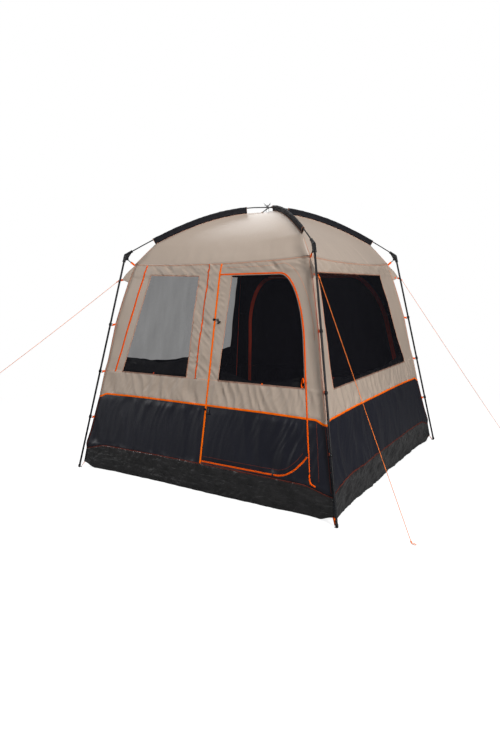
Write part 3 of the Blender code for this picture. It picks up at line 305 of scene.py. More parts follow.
def tape_material(name, color, rough=0.62, pitch=95):
    """Grosgrain tape and webbing: ribs across, a woven edge and slight fading."""
    m = Shade(name, Specular_IOR_Level=0.05)
    uv = m.place()
    ribs = m.wave(uv, pitch, "X", 0.4)
    rows = m.wave(uv, pitch * 1.6, "Y", 0.3)
    worn = m.noise(uv, 14, 4)
    return m.done(
        Base_Color=m.dyed(m.sum(worn, 0.75, ribs, 0.25), color, (0.25, 0.90), (0.75, 1.06)),
        Roughness=m.spread(worn, rough - 0.08, rough + 0.1),
        Normal=m.bump(m.math("MULTIPLY", ribs, rows), 0.00035, 0.7),
    )


def zip_material(name, color):
    """Coil zip: tape on both sides and a ridge of teeth, read from the strip's own UVs."""
    m = Shade(name, Specular_IOR_Level=0.06)
    uv = m.place()
    beside = m.node("SeparateXYZ", {"Vector": uv}).outputs[1]
    ridge = m.math("MULTIPLY", m.wave(uv, 210, "X"), m.math("LESS_THAN", beside, 0.0026))
    worn = m.noise(uv, 18, 3)
    mixed = m.math("SUBTRACT", m.spread(worn, 0.35, 0.85), m.math("MULTIPLY", ridge, 0.30))
    height = m.math("ADD", ridge, m.math("MULTIPLY", m.wave(uv, 120, "X", 0.5), 0.25))
    return m.done(
        Base_Color=m.dyed(mixed, color, (0.0, 0.62), (0.7, 1)),
        Roughness=m.spread(worn, 0.42, 0.62),
        Normal=m.bump(height, 0.0007, 0.7),
    )


def hard_material(name, color, rough, metallic=0.0, grain=220.0, depth=0.00012, coat=0.0):
    """Moulded or painted parts: fine grain, scuffs and dull patches."""
    m = Shade(
        name, Metallic=metallic, Coat_Weight=coat, Coat_Roughness=0.3, Specular_IOR_Level=0.3
    )
    where = m.place(uv=False)
    scuffs = m.noise(where, 38, 6, 0.7)
    mixed = m.sum(m.noise(where, 6, 3), 0.6, scuffs, 0.4)
    return m.done(
        Base_Color=m.dyed(mixed, color, (0.35, 0.82), (0.68, 1.35)),
        Roughness=m.spread(scuffs, rough - 0.12, rough + 0.14),
        Normal=m.bump(m.noise(where, grain, 2), depth, 0.5),
    )


def cord_material(name, color):
    """Braided cord with a slanted pick."""
    m = Shade(name, Sheen_Weight=0.1)
    where = m.place(uv=False)
    worn = m.noise(where, 30, 3)
    return m.done(
        Base_Color=m.dyed(worn, color, (0.3, 0.88), (0.7, 1)),
        Roughness=m.spread(worn, 0.5, 0.7),
        Normal=m.bump(m.wave(where, 260, "DIAGONAL", 1.0), 0.0003, 0.6),
    )


TAN = cloth_material("tan_cloth", rgb(168, 152, 138), 0.52, 0.05, 0.04)
ROOF_TAN = cloth_material("roof_cloth", rgb(166, 151, 138), 0.40, 0.05, 0.03, 0.0002)
NAVY = cloth_material("dark_cloth", rgb(22, 23, 32), 0.46, 0.0, 0.14, 0.0008, 0.24)
# Near-black cloth on every inner face: its darkness is painted shade for the inside of the tent
INNER_SHADE = cloth_material("inner_painted_shade", rgb(13, 13, 17), 0.85, 0.0, 0.2, gloss=0.05)
SLEEVE = cloth_material("sleeve_cloth", rgb(20, 20, 26), 0.62, 0.0, 0.12, gloss=0.15)
# The flaps' black cloth, darkened further: part of this darkness is painted shade for their place inside
# the mesh
FLAP = cloth_material("flap_cloth_with_painted_shade", rgb(12, 12, 15), 0.5, 0.0, 0.15, 0.001, 0.14)
TUB = tub_material()
NET = net_material()
ORANGE_TAPE = tape_material("orange_tape", rgb(255, 110, 0))
ORANGE_WEB = tape_material("orange_webbing", rgb(252, 96, 0), 0.7, 60)
RED_TAPE = tape_material("inner_tape", rgb(228, 76, 38))
SALMON = tape_material("seam_binding", rgb(205, 150, 124))
DARK_SALMON = tape_material("dark_seam_thread", rgb(104, 48, 38))
BROWN = tape_material("sill_hem", rgb(138, 108, 94))
BLACK_TAPE = tape_material("black_webbing", rgb(26, 26, 30))
ZIP = zip_material("orange_zip", rgb(255, 97, 0))
POLE = hard_material("painted_steel", rgb(9, 10, 15), 0.42, 0.0, 320, 0.00008, 0.05)
ROD = hard_material("rod_fibreglass", rgb(9, 9, 12), 0.45, 0.0, 500, 0.00006)
PLASTIC = hard_material("moulded_plastic", rgb(11, 11, 15), 0.42)
STEEL = hard_material("plated_steel", rgb(176, 176, 178), 0.32, 1.0, 400, 0.00006)
GUY_CORD = cord_material("guy_cord", rgb(250, 122, 0))
BLACK_CORD = cord_material("black_cord", rgb(28, 28, 32))


# Frame geometry


def wall_half(z):
    """Half a wall's width at a height, which is also its distance from the middle."""
    if z < TUB_Z:
        return FLOOR_HALF + (TUB_HALF - FLOOR_HALF) * z / TUB_Z
    return TUB_HALF - SLOPE * (z - TUB_Z)


OUT_Y = -1 / math.hypot(1, SLOPE)
OUT_Z = SLOPE / math.hypot(1, SLOPE)
BOW_Z = (0, 0.045, 0.176, 0.33, 0.636, 0.84, 0.938, 1.251, 1.45, 1.608, 1.70, 1.74)
BOW_OUT = (0.030, 0.040, 0.010, 0.003, 0.004, 0.012, 0.010, 0.023, 0.018, 0.011, 0.003, 0.0)


def bow(z):
    """How far the clips pull a corner of the cabin out at a height."""
    return float(np.interp(z, BOW_Z, BOW_OUT))


def edge_out(z):
    """A corner's outer edge as its distance along the diagonal, pull included."""
    return (wall_half(z) + bow(z)) * SQRT2


def turned(x, y, z, side):
    for _ in range(side):
        x, y = -y, x
    return Vector((x, y, z))


def ripple(x, y, seed):
    """Soft noise from about -1 to 1."""
    return 1.8 * noise.noise((x, y, seed))


def fold(x, y, seed):
    """Noise with crisp ridges and wide valleys, as pulled cloth has."""
    return 1.0 - 3.2 * abs(noise.noise((x, y, seed)))


def calm(side, u, z):
    """The share of a fold left near straight zips and hinges, which hold the cloth flat."""
    near = 1.0
    if side == FRONT:
        near = abs(u - HINGE_U) / 1.6
        for height in TOGGLE_HEIGHTS:
            near = min(near, math.hypot(u - TOGGLE_U, z - height) / 2.2)
        if z < 1.22:
            near = min(near, abs(u - door_side_u(z)))
        if HINGE_U < u < 0.80:
            near = min(near, abs(z - DOOR_BOTTOM), abs(z - DOOR_TOP))
    elif side == BACK and abs(u) < BACK_FOOT + 0.03:
        near = abs(z - BACK_SILL) / 2.0
        if abs(u) < 0.50:
            near = min(near, abs(z - BACK_TOP))
    return 1 - 0.88 * math.exp(-((near / 0.020) ** 2))


def tub_folds(u, z, seed):
    lean = u + 0.6 * z
    total = 0.0060 * fold(lean * 6.5, z * 9 + u, seed + 1)
    total += 0.0034 * fold(u * 17 - z * 9, z * 22, seed + 2)
    total += 0.0060 * ripple(u * 5.0, z * 3.0, seed + 3)
    return step(0.27, 0.20, z) * total


def dark_wall_folds(u, z, seed):
    """Long upright folds, deeper where the cloth is loose."""
    bend = u + 0.05 * ripple(u * 2, z * 3, seed + 5)
    loose = step(-0.5, 0.6, ripple(u * 1.7, z * 1.5, seed + 15))
    total = (0.0028 + 0.0070 * loose) * fold(bend * 7.5 + z * 1.5, z * 1.6, seed + 4)
    total += (0.0012 + 0.0034 * loose) * fold(bend * 17 - z * 4, z * 2.6, seed + 6)
    return step(0.18, 0.27, z) * step(0.66, 0.60, z) * total


def sill_folds(u, z, seed):
    """Short folds that fan out between the windows and the band."""
    bend = u * (1 + 0.12 * (z - 0.75)) + 0.02 * ripple(u * 5, z * 6, seed + 8)
    total = 0.0066 * fold(bend * 12 + z * 3, z * 3.4, seed + 7)
    total += 0.0034 * fold(bend * 26 - z * 9, z * 6.0, seed + 9)
    return step(0.655, 0.672, z) * step(0.856, 0.842, z) * total


def hinge_strip_folds(u, z):
    """Slanted puckers between the window's zip and the door, held along the zip."""
    inside = step(-0.16, -0.10, u) * step(0.18, 0.09, u)
    held = 1 - 0.7 * math.exp(-(((u + 0.042) / 0.020) ** 2))
    slant = z * 17 + u * 15 + 1.2 * ripple(u * 6, z * 4, 3.3)
    total = 0.0046 * fold(slant, u * 5 - z * 2.2, 21.4)
    total += 0.0040 * fold((u * 0.9 + z) * 28, (u - z) * 3, 22.9)
    return inside * held * total


def upper_wall_folds(side, u, z, seed):
    total = 0.0034 * ripple(u * 11 + z * 3, z * 4 - u * 2, seed + 10)
    if side == FRONT and -0.16 < u < 0.18:
        total += hinge_strip_folds(u, z)
    if side == FRONT and u > 0.88:
        inside = step(0.88, 0.93, u + 0.2177 * (z - 0.9))
        total += inside * 0.0018 * fold((u + 0.19 * z) * 30, z * 2.0, 5.1)
    return step(0.83, 0.90, z) * step(1.66, 1.60, z) * total


def header_folds(u, z, seed):
    """Slanted pull folds below the roof's seam."""
    slant = u * 15 + z * 26 + 0.8 * ripple(u * 5, z * 5, seed + 12)
    total = 0.0046 * fold(slant, z * 8 - u * 4, seed + 13)
    total += 0.0052 * fold((u * 0.8 + z) * 27, (z - u) * 3, seed + 14)
    return step(1.62, 1.66, z) * step(1.745, 1.70, z) * total


def relief(side, u, z):
    """How far the hung cloth stands from its flat wall: sags, folds and creases."""
    seed = 11.7 * side
    total = 0.0045 * ripple(u * 1.5, z * 1.3, seed)
    if z < 0.27:
        total += tub_folds(u, z, seed)
    if 0.18 < z < 0.66:
        total += dark_wall_folds(u, z, seed)
    if 0.645 < z < 0.86 and side != BACK:
        total += sill_folds(u, z, seed)
    if z > 0.83:
        total += upper_wall_folds(side, u, z, seed)
    if z > 1.62:
        total += header_folds(u, z, seed)
    return total * calm(side, u, z) * step(1.0, 0.93, abs(u) / wall_half(z))


def skin(side, u, z, out=0.0, flat=False):
    """The point of the hung cloth at (u, z) of a wall, out from its outer face."""
    half = wall_half(z)
    s = abs(u) / half
    begin = 0.83 if side == FRONT and u > 0 else 0.60
    pull = bow(z) * max(0.0, (s - begin) / (1 - begin)) ** 2
    stand = out + (0.0 if flat else relief(side, u, z))
    x = u * (1 + pull / half) + math.copysign(out * step(0.97, 1.0, s), u)
    return turned(x, -half - pull + stand * OUT_Y, z + stand * OUT_Z, side)


def corner_point(corner, d, z, across=0.0):
    """A point at a distance along a corner's diagonal, at a height, and to its side."""
    cx, cy = CORNERS[corner]
    return Vector(((cx * d - cy * across) / SQRT2, (cy * d + cx * across) / SQRT2, z))


MOUTH_D = MOUTH_HALF * SQRT2
RISE = CROWN_Z - MOUTH_Z


def rod_slope(d):
    t = d / MOUTH_D
    return -RISE / MOUTH_D * (2 * ROD_BOW * t - 4 * (ROD_BOW - 1) * t**3)


def rod_line(d):
    """A rod's height and slope at a distance from the crown."""
    if abs(d) <= MOUTH_D:
        t = d / MOUTH_D
        return CROWN_Z - RISE * (ROD_BOW * t * t - (ROD_BOW - 1) * t**4), rod_slope(d)
    mouth = math.copysign(MOUTH_D, d)
    return MOUTH_Z + rod_slope(mouth) * (d - mouth), rod_slope(mouth)


MOUTH_ALONG = Vector((1, rod_slope(MOUTH_D))).normalized()
BEND = Vector((MOUTH_D, MOUTH_Z)) + ROD_SOCKET * MOUTH_ALONG
LEG_UP = (BEND - Vector((FOOT_HALF * SQRT2, 0))).normalized()
INWARD = Vector((-LEG_UP.y, LEG_UP.x))


def leg_d(z):
    return FOOT_HALF * SQRT2 + LEG_UP.x / LEG_UP.y * z


def leg_frame(corner, z):
    """A leg's centre at a height, with its ways outwards, up along it and across."""
    outward = corner_point(corner, -INWARD.x, -INWARD.y)
    upward = corner_point(corner, *LEG_UP)
    return corner_point(corner, leg_d(z), z), outward, upward, across_way(corner)


def across_way(corner):
    return corner_point(corner, 0, 0, 1)


def seam_z(s):
    """The roof seam's height across a wall, which sags between the corners."""
    return 1.722 + 0.026 * abs(s) ** 2.5


def band_z(u):
    """The band's height across a wall, which dips at the corners."""
    s = abs(u) / wall_half(BAND_Z)
    return 0.660 - 0.006 * step(0.5, 0.93, s) - 0.027 * step(0.92, 1.0, s)


TUB_CORNER = 0.176


def tub_z(u, side):
    """The height of the seam between the lower wall and the tub."""
    s = abs(u) / wall_half(TUB_Z)
    middle = (0.228, 0.240, 0.230, 0.232)[side]
    return middle - 0.010 * s * s - (middle - 0.010 - TUB_CORNER) * step(0.80, 1.0, s)


def floor_z(u):
    """The tub's lower edge, lifted at the corners by the webbing of the legs' feet."""
    s = abs(u) / wall_half(0)
    return 0.002 + 0.043 * step(0.92, 1.0, s) + 0.003 * step(0.5, 0.9, s)


# Mesh building


class Store:
    """Points, faces and UVs of one piece."""

    def __init__(self):
        self.points = []
        self.faces = []
        self.uvs = []

    def grid(self, rows, uvs=None, wrap=False, turn=False):
        """Rows of as many points each, joined by quads."""
        first = len(self.points)
        count = len(rows[0])
        for i, row in enumerate(rows):
            self.points += row
            self.uvs += uvs[i] if uvs else [(i * 0.01, k * 0.01) for k in range(count)]
        for i in range(len(rows) - 1):
            for k in range(count if wrap else count - 1):
                after = (k + 1) % count
                a, b = first + i * count, first + (i + 1) * count
                quad = (a + k, a + after, b + after, b + k)
                self.faces.append(quad[::-1] if turn else quad)
        return first

    def surface(self, rows, **how):
        """A grid from rows of (point, UV)."""
        points, uvs = ([[pair[n] for pair in row] for row in rows] for n in (0, 1))
        self.grid(points, uvs, **how)

    def cap(self, first, count, turn=False):
        face = tuple(range(first, first + count))
        self.faces.append(face[::-1] if turn else face)

    def pipe(self, rows, uvs=None):
        """Closed rings joined in a row, with both ends capped."""
        first = self.grid(rows, uvs, wrap=True)
        count = len(rows[0])
        self.cap(first, count, True)
        self.cap(first + (len(rows) - 1) * count, count)

    def made(self, name, materials, node=None, body="tent", slot=None):
        """The piece in the scene, on its body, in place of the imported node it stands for."""
        mesh = bpy.data.meshes.new(name)
        mesh.from_pydata([tuple(p) for p in self.points], [], self.faces)
        layer = mesh.uv_layers.new(name="UVMap")
        loops = np.empty(len(mesh.loops), np.int32)
        mesh.loops.foreach_get("vertex_index", loops)
        layer.data.foreach_set("uv", np.asarray(self.uvs, np.float32)[loops].ravel())
        materials = materials if isinstance(materials, tuple) else (materials,)
        for m in materials:
            mesh.materials.append(m)
        mesh.shade_smooth()
        mesh.validate()
        made = link(bpy.data.objects.new(name, mesh))
        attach(made, body)
        if node:
            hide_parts(node)
        return made


def thicken(piece, depth=CLOTH):
    """Gives a sheet its thickness, with the inner face in its second material."""
    solid = piece.modifiers.new("cloth", "SOLIDIFY")
    solid.thickness = depth
    solid.offset = -1
    solid.material_offset = len(piece.data.materials) - 1
    return solid


def way_at(points, i):
    """The way along a line of vectors at one of its points."""
    return points[min(i + 1, len(points) - 1)] - points[max(i - 1, 0)]


def circle(centre, first, second, radius, count):
    """Points round a centre, from one direction towards another."""
    turns = [math.tau * k / count for k in range(count)]
    return [centre + radius * (math.cos(a) * first + math.sin(a) * second) for a in turns]


def dense(line, size, closed=False):
    """A line with points no further apart than size."""
    made = []
    ends = list(zip(line, line[1:] + line[:1])) if closed else list(zip(line, line[1:]))
    for (u0, z0), (u1, z1) in ends:
        count = max(1, math.ceil(math.hypot(u1 - u0, z1 - z0) / size))
        made += [(u0 + (u1 - u0) * k / count, z0 + (z1 - z0) * k / count) for k in range(count)]
    return made if closed else [*made, line[-1]]


def inside(points, loop):
    """Which points lie inside a loop, by crossings."""
    x, y = points[:, 0], points[:, 1]
    found = np.zeros(len(points), bool)
    for (x0, y0), (x1, y1) in zip(loop, loop[1:] + loop[:1]):
        if y0 != y1:
            crosses = (y0 > y) != (y1 > y)
            found ^= crosses & (x < (x1 - x0) * (y - y0) / (y1 - y0) + x0)
    return found


def on_panel(points, loops):
    """Which points lie in the outline and in none of the holes."""
    at = np.array(points)
    found = inside(at, loops[0])
    for hole in loops[1:]:
        found &= ~inside(at, hole)
    return found


def panel_grid(loops, size):
    """Staggered points inside a panel, clear of its edges."""
    edge = [p for loop in loops for p in loop]
    near = KDTree(len(edge))
    for i, p in enumerate(edge):
        near.insert((*p, 0), i)
    near.balance()
    us, zs = zip(*loops[0])
    grid = []
    row = 0
    z = min(zs) + size / 2
    while z < max(zs):
        u = min(us) + (size / 2 if row % 2 else 0)
        while u < max(us):
            grid.append((u, z))
            u += size
        row += 1
        z += size * 0.866
    if not grid:
        return []
    keep = on_panel(grid, loops)
    return [p for p, ok in zip(grid, keep) if ok and near.find((*p, 0))[2] > size * 0.5]


def cloth(name, side, outline, material, node=None, holes=(), size=FINE_MESH, body="tent", out=0.0):
    """A wall's cloth panel between an outline and its holes, as one curved sheet."""
    loops = [dense(list(loop), size, True) for loop in (outline, *holes)]
    points = [p for loop in loops for p in loop] + panel_grid(loops, size)
    edges = []
    start = 0
    for loop in loops:
        edges += [(start + i, start + (i + 1) % len(loop)) for i in range(len(loop))]
        start += len(loop)
    verts, _, faces = delaunay_2d_cdt([Vector(p) for p in points], edges, [], 0, 1e-7, False)[:3]
    keep = on_panel([[sum(verts[i][n] for i in f) / 3 for n in (0, 1)] for f in faces], loops)
    store = Store()
    store.points = [skin(side, v.x, v.y, out) for v in verts]
    store.uvs = [(v.x, v.y) for v in verts]
    store.faces = [tuple(f) for f, ok in zip(faces, keep) if ok]
    made = store.made(name, NET if material is NET else (material, INNER_SHADE), node, body)
    if material is not NET:
        thicken(made)


def net(name, side, outline, node, body="tent"):
    """A window's netting, one taut sheet just inside the wall."""
    cloth(name, side, outline, NET, node, size=0.03, out=-0.0022, body=body)


# What is sewn along a wall's lines


def mirrored(line):
    return [(-u, z) for u, z in reversed(line)]


def above(line, z):
    return [p for p in line if p[1] > z]


def below(line, z):
    return [p for p in line if p[1] < z]


def offset_line(line, distance):
    """A line in a wall's plane moved to its left, with mitred corners."""
    made = []
    for i, (u, z) in enumerate(line):
        sides = []
        for a, b in ((i - 1, i), (i, i + 1)):
            if a >= 0 and b < len(line):
                du, dz = line[b][0] - line[a][0], line[b][1] - line[a][1]
                long = math.hypot(du, dz) or 1e-9
                sides.append((-dz / long, du / long))
        nu = sum(s[0] for s in sides) / len(sides)
        nz = sum(s[1] for s in sides) / len(sides)
        grow = distance / max(0.3, nu * nu + nz * nz)
        made.append((u + nu * grow, z + nz * grow))
    return made


def ribbon(store, side, line, section, lift, inner):
    """Sweeps a section of (offset to the left, height) points along a line of a wall."""
    line = dense(line, 0.010)
    sides = [offset_line(line, offset) for offset, _ in section]
    outs = [-CLOTH - height - lift if inner else height + lift for _, height in section]
    along = 0.0
    rows, uvs = [], []
    for i, place in enumerate(line):
        if i:
            along += math.dist(place, line[i - 1])
        rows.append([skin(side, *moved[i], out) for moved, out in zip(sides, outs)])
        uvs.append([(along, offset) for offset, _ in section])
    first = store.grid(rows, uvs, turn=not inner)
    store.cap(first, len(section), inner)
    store.cap(first + (len(rows) - 1) * len(section), len(section), not inner)


def flat_section(half, height, offset=0.0):
    """A tape with rounded edges."""
    edge = min(half * 0.3, height)
    right = [(half, -0.0002), (half, height * 0.6), (half - edge, height)]
    return [(offset + o, h) for o, h in [*right, *mirrored(right)]]


def round_section(radius):
    """A bead that lies on the cloth."""
    angles = [math.pi * k / 6 for k in range(1, 6)]
    made = [(radius * math.cos(a), radius * 1.1 * math.sin(a)) for a in angles]
    return [(radius, -0.0003), *made, (-radius, -0.0003)]


def zip_section(left, half=0.0056):
    """Half a zip on the left or right of its line: teeth by the line, then tape."""
    teeth = [(0.0003, -0.0002), (0.0004, 0.0019), (0.0014, 0.0025), (0.0024, 0.0018)]
    tape = [(0.0028, 0.0011), (half - 0.0006, 0.0010), (half, 0.0004), (half, -0.0002)]
    points = [*teeth, *tape]
    return points[::-1] if left else [(-o, h) for o, h in points]


THREAD_LIFT, TAPE_LIFT, ZIP_LIFT, INNER_LIFT = 0.0001, 0.0002, 0.0003, 0.0004
BAND_HALF, BAND_HIGH = 0.0068, 0.0014
BEAD = round_section(0.0017)
THREAD = round_section(0.0013)
TUB_THREAD = round_section(0.0025)
BAND_TAPE = flat_section(BAND_HALF, BAND_HIGH)
SILL_HEM = flat_section(0.0045, 0.0020, -0.002)


def trim(name, runs, material, body="tent", node=None, lift=THREAD_LIFT, inner=False):
    """One piece from ribbons: each run is a side, a line and a section."""
    store = Store()
    for side, line, section in runs:
        ribbon(store, side, line, section, lift, inner)
    store.made(name, material, node, body)


STITCH, STITCH_PITCH = 0.0056, 0.0080
STITCH_HALF, STITCH_HIGH = 0.0005, 0.0006


def stitches(name, runs, material, body="tent", slot=None, lift=ZIP_LIFT):
    """Rows of sewn thread: one small raised dash per stitch, beside lines of a wall."""
    store = Store()
    for side, line, offset in runs:
        path = dense(offset_line(dense(line, 0.02), offset), STITCH_PITCH)
        for (u0, z0), (u1, z1) in zip(path, path[1:]):
            long = math.hypot(u1 - u0, z1 - z0) or 1e-9
            du, dz = (u1 - u0) / long, (z1 - z0) / long
            rows = []
            for a, high in ((0, 0), (0.25, STITCH_HIGH), (0.75, STITCH_HIGH), (1, 0)):
                u, z = u0 + du * STITCH * a, z0 + dz * STITCH * a
                row = []
                for w, top in ((STITCH_HALF, 0.2), (0, 1), (-STITCH_HALF, 0.2)):
                    row.append(skin(side, u - dz * w, z + du * w, lift + high * top))
                rows.append(row)
            store.grid(rows, turn=True)
    store.made(name, material, body=body, slot=slot)


def bezier(a, b, c, d, steps):
    """A curve from a, without its last point."""
    made = []
    for i in range(steps):
        t = i / steps
        w = ((1 - t) ** 3, 3 * t * (1 - t) ** 2, 3 * t * t * (1 - t), t**3)
        made.append(tuple(sum(k * p[n] for k, p in zip(w, (a, b, c, d))) for n in (0, 1)))
    return made


# Lines and webbing in space


def tube(store, points, radius, sides=10, closed=False):
    """Adds a round tube of one radius or a list of them, capped where it isn't closed."""
    count = len(points)
    sizes = radius if isinstance(radius, list) else [radius] * count
    guide = None
    rows, uvs = [], []
    along = 0.0
    for i, (point, size) in enumerate(zip(points, sizes)):
        before = points[i - 1] if i or closed else point
        after = points[(i + 1) % count] if i < count - 1 or closed else point
        way = (after - before).normalized()
        if guide is None:
            guide = way.orthogonal().normalized()
        guide = (guide - way * guide.dot(way)).normalized()
        if i:
            along += (point - points[i - 1]).length
        rows.append(circle(point, guide, way.cross(guide), size, sides))
        uvs.append([(along, k * size) for k in range(sides)])
    if closed:
        store.grid([*rows, rows[0]], [*uvs, uvs[0]], wrap=True)
    else:
        store.pipe(rows, uvs)
    return store


def spline(points, per):
    """A smooth line through points, with so many steps between two of them."""
    made = []
    for i, (p1, p2) in enumerate(zip(points, points[1:])):
        p0 = points[max(i - 1, 0)]
        p3 = points[min(i + 2, len(points) - 1)]
        for k in range(per):
            t = k / per
            bend = (2 * p0 - 5 * p1 + 4 * p2 - p3) * t * t + (3 * p1 - p0 - 3 * p2 + p3) * t**3
            made.append(0.5 * (2 * p1 + (p2 - p0) * t + bend))
    return [*made, points[-1]]


STRAP_UNDER = ((-1, -0.7), (-0.9, -1), (0.9, -1), (1, -0.7))
STRAP_SECTION = (*STRAP_UNDER, *((w, -t) for w, t in reversed(STRAP_UNDER)))


def strap(store, points, half, thick, flat):
    """Adds webbing through points in space, with its width along the direction flat."""
    rows, uvs = [], []
    along = 0.0
    for i, place in enumerate(points):
        normal = way_at(points, i).cross(flat).normalized() * thick / 2
        if i:
            along += (place - points[i - 1]).length
        rows.append([place + flat * half * w + normal * t for w, t in STRAP_SECTION])
        uvs.append([(along, half * (1 + w)) for w, _ in STRAP_SECTION])
    store.pipe(rows, uvs)
    return store


# Guylines

LOOP_SIDES = {"front_left": -1, "front_right": 1, "back_right": 1, "back_left": -1}
LOOP_ACROSS = LEG_RADIUS + 4 * GAP + 0.0016
GUY_SAG = 0.024
KNOT_RADIUS = GUY_RADIUS * 1.9
END_LOOP, END_LOOP_WIDE = 0.016, 0.0075


def loop_end(corner):
    """The end of a corner's webbing loop, beside the leg."""
    z = TAB_TIP[1] - GUY_LOOP
    return corner_point(corner, leg_d(z) + GUY_LOOP, z, LOOP_ACROSS * LOOP_SIDES[corner])


def guy_start(corner, end):
    """Where a line leaves its loop, against the webbing's outer edge."""
    out = corner_point(corner, 1, 0)
    lean = (end - loop_end(corner)).normalized().dot(out)
    return loop_end(corner) + out * (GAP + GUY_RADIUS * math.sqrt(1 - lean * lean))


def wrapped_knot(store, at, way, size, turns=3.5, pitch=0.0031):
    """A few turns of cord wound round the line at a point."""
    side = way.orthogonal().normalized()
    other = way.cross(side)
    points = []
    for k in range(int(turns * 10) + 1):
        a = math.tau * k / 10
        round_it = size * (math.cos(a) * side + math.sin(a) * other)
        points.append(at + way * (k / 10 * pitch) + round_it)
    tube(store, points, GUY_RADIUS * 0.95, 6)


def guyline(corner, end, loop_way):
    """A taut line from its webbing loop to a loop at its end, with a knot at each end."""
    end = Vector(end)
    start = guy_start(corner, end)
    points = [start.lerp(end, t) - UP * (GUY_SAG * t * (1 - t)) for t in shares(23)]
    curve = bpy.data.curves.new(f"line_{corner}", "CURVE")
    curve.dimensions = "3D"
    curve.bevel_depth = GUY_RADIUS
    curve.bevel_resolution = 2
    curve.use_fill_caps = True
    made = curve.splines.new("POLY")
    made.points.add(len(points) - 1)
    for spot, point in zip(made.points, points):
        spot.co = (*point, 1)
    curve.materials.append(GUY_CORD)
    line = link(bpy.data.objects.new(f"line_{corner}", curve))
    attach(line, "tent")
    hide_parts(f"guyline_{corner}")
    way = (end - start).normalized()
    store = Store()
    for at in (points[0] + way * 0.004, points[-1] - way * 0.014):
        wrapped_knot(store, at, way, KNOT_RADIUS)
    reach = Vector(loop_way).normalized()
    side = reach.cross(UP).normalized()
    loop = circle(end + reach * END_LOOP, reach * -END_LOOP, side * END_LOOP_WIDE, 1, 24)
    tube(store, loop, GUY_RADIUS, 8, closed=True)
    knots = store.made(f"knots_{corner}", GUY_CORD)


def add_guylines():
    guyline("front_left", (-1.663, -1.663, 0.832), (-0.56, -0.56, -0.6))
    guyline("front_right", (1.690, -1.191, 0.004), (0.94, -0.32, 0.0))
    guyline("back_right", (1.797, 1.797, 0.004), (0.7, 0.7, 0.0))


# The doors' edges and the windows

DOOR_SIDE_FOOT = (0.985, 0.274)
DOOR_ARC_END = (0.845, 1.170)
DOWN = (Vector(DOOR_SIDE_FOOT) - Vector(DOOR_ARC_END)).normalized()
DOOR_SIDE = (Vector(DOOR_ARC_END) - DOWN * 0.200)[:]
DOOR_HEAD = [
    (DOOR_EDGE, DOOR_TOP),
    *bezier((0.600, DOOR_TOP), (0.720, DOOR_TOP), DOOR_SIDE, DOOR_ARC_END, 20),
]
DOOR_FOOT_BENDS = ((0.720, DOOR_BOTTOM), (0.835, DOOR_BOTTOM), (0.9045, 0.33375), (0.962, 0.420))
DOOR_FOOT = [(DOOR_EDGE, DOOR_BOTTOM), *bezier(*DOOR_FOOT_BENDS, 16)]


def door_side_u(z):
    share = (z - DOOR_ARC_END[1]) / (DOOR_SIDE_FOOT[1] - DOOR_ARC_END[1])
    return DOOR_ARC_END[0] + share * (DOOR_SIDE_FOOT[0] - DOOR_ARC_END[0])


def door_side(z):
    """The point of the door's straight side zip at a height."""
    return door_side_u(z), z


DOOR_MEETS = door_side(DOOR_FOOT_BENDS[-1][1])
BACK_SHOULDER = (0.795, 1.150)
BACK_RISE = (Vector(BACK_SHOULDER) - Vector((BACK_FOOT, BACK_SILL))).normalized()
BACK_BEND = (Vector(BACK_SHOULDER) + BACK_RISE * 0.250)[:]
BACK_ARC_END = (BACK_TOP_HALF, BACK_TOP)
BACK_HALF = [
    (BACK_FOOT, BACK_SILL),
    *bezier(BACK_SHOULDER, BACK_BEND, (0.620, BACK_TOP), BACK_ARC_END, 16),
    BACK_ARC_END,
]
BACK_LINE = [*BACK_HALF, *mirrored(BACK_HALF)]


def back_u(z):
    return BACK_FOOT + (z - BACK_SILL) / BACK_RISE.y * BACK_RISE.x


def window(top, bottom, low, high, grow):
    return [
        (bottom[0] - grow, low - grow),
        (bottom[1] + grow, low - grow),
        (top[1] + grow, high + grow),
        (top[0] - grow, high + grow),
    ]


def front_window(grow=0.0):
    made = window((-0.627, -0.122), (-0.831, -0.144), SILL_Z, WINDOW_TOP, grow)
    (right, top), (left, _) = made[2:]
    return [*made[:2], (right, top - 0.007), (left, top + 0.011)]


def side_window(side, grow=0.0):
    if side == RIGHT:
        return window((-0.775, 0.550), (-0.868, 0.789), SIDE_SILL, WINDOW_TOP, grow)
    return window((-0.785, 0.650), (-0.872, 0.840), SIDE_SILL, WINDOW_TOP + 0.022, grow)


def door_window(grow=0.0):
    """The door's mesh opening, whose head and side follow the zip."""
    inset = offset_line([*DOOR_HEAD, DOOR_ARC_END, door_side(SILL_Z)], -(0.016 - grow))
    low = SILL_Z - grow
    foot = (inset[-1][0] + (inset[-1][1] - low) * DOWN.x / -DOWN.y, low)
    head = (0.186 - grow, DOOR_TOP - 0.016 + grow)
    return [(0.163 - grow, low), head, *above(inset[1:-1], SILL_Z), foot]


# Lines that the panels share


def across(height, start, end):
    """A line across a wall whose height is a function of u."""
    count = max(1, math.ceil(abs(end - start) / FINE_MESH))
    return [(u, height(u)) for u in (start + (end - start) * k / count for k in range(count + 1))]


def pinned(line, end, z):
    """A line across a wall whose ends at the corners are exact."""
    return [(math.copysign(end, u), z) if abs(u) > end - 1e-6 else (u, high) for u, high in line]


def seam_line():
    """The roof seam across a wall."""
    made = []
    for k in range(141):
        s = -1 + 2 * k / 140
        made.append((s * wall_half(seam_z(s)), seam_z(s)))
    return made


def corner_edge(low, high):
    """A wall's right corner between two heights, upwards."""
    count = math.ceil((high - low) / FINE_MESH)
    return [(wall_half(z), z) for z in (low + (high - low) * k / count for k in range(count + 1))]


BAND_LOW = band_z(wall_half(BAND_Z))
BAND_END = wall_half(BAND_LOW)
TUB_END = wall_half(TUB_CORNER)


def band_line(start=-BAND_END, end=BAND_END):
    return pinned(across(band_z, start, end), BAND_END, BAND_LOW)


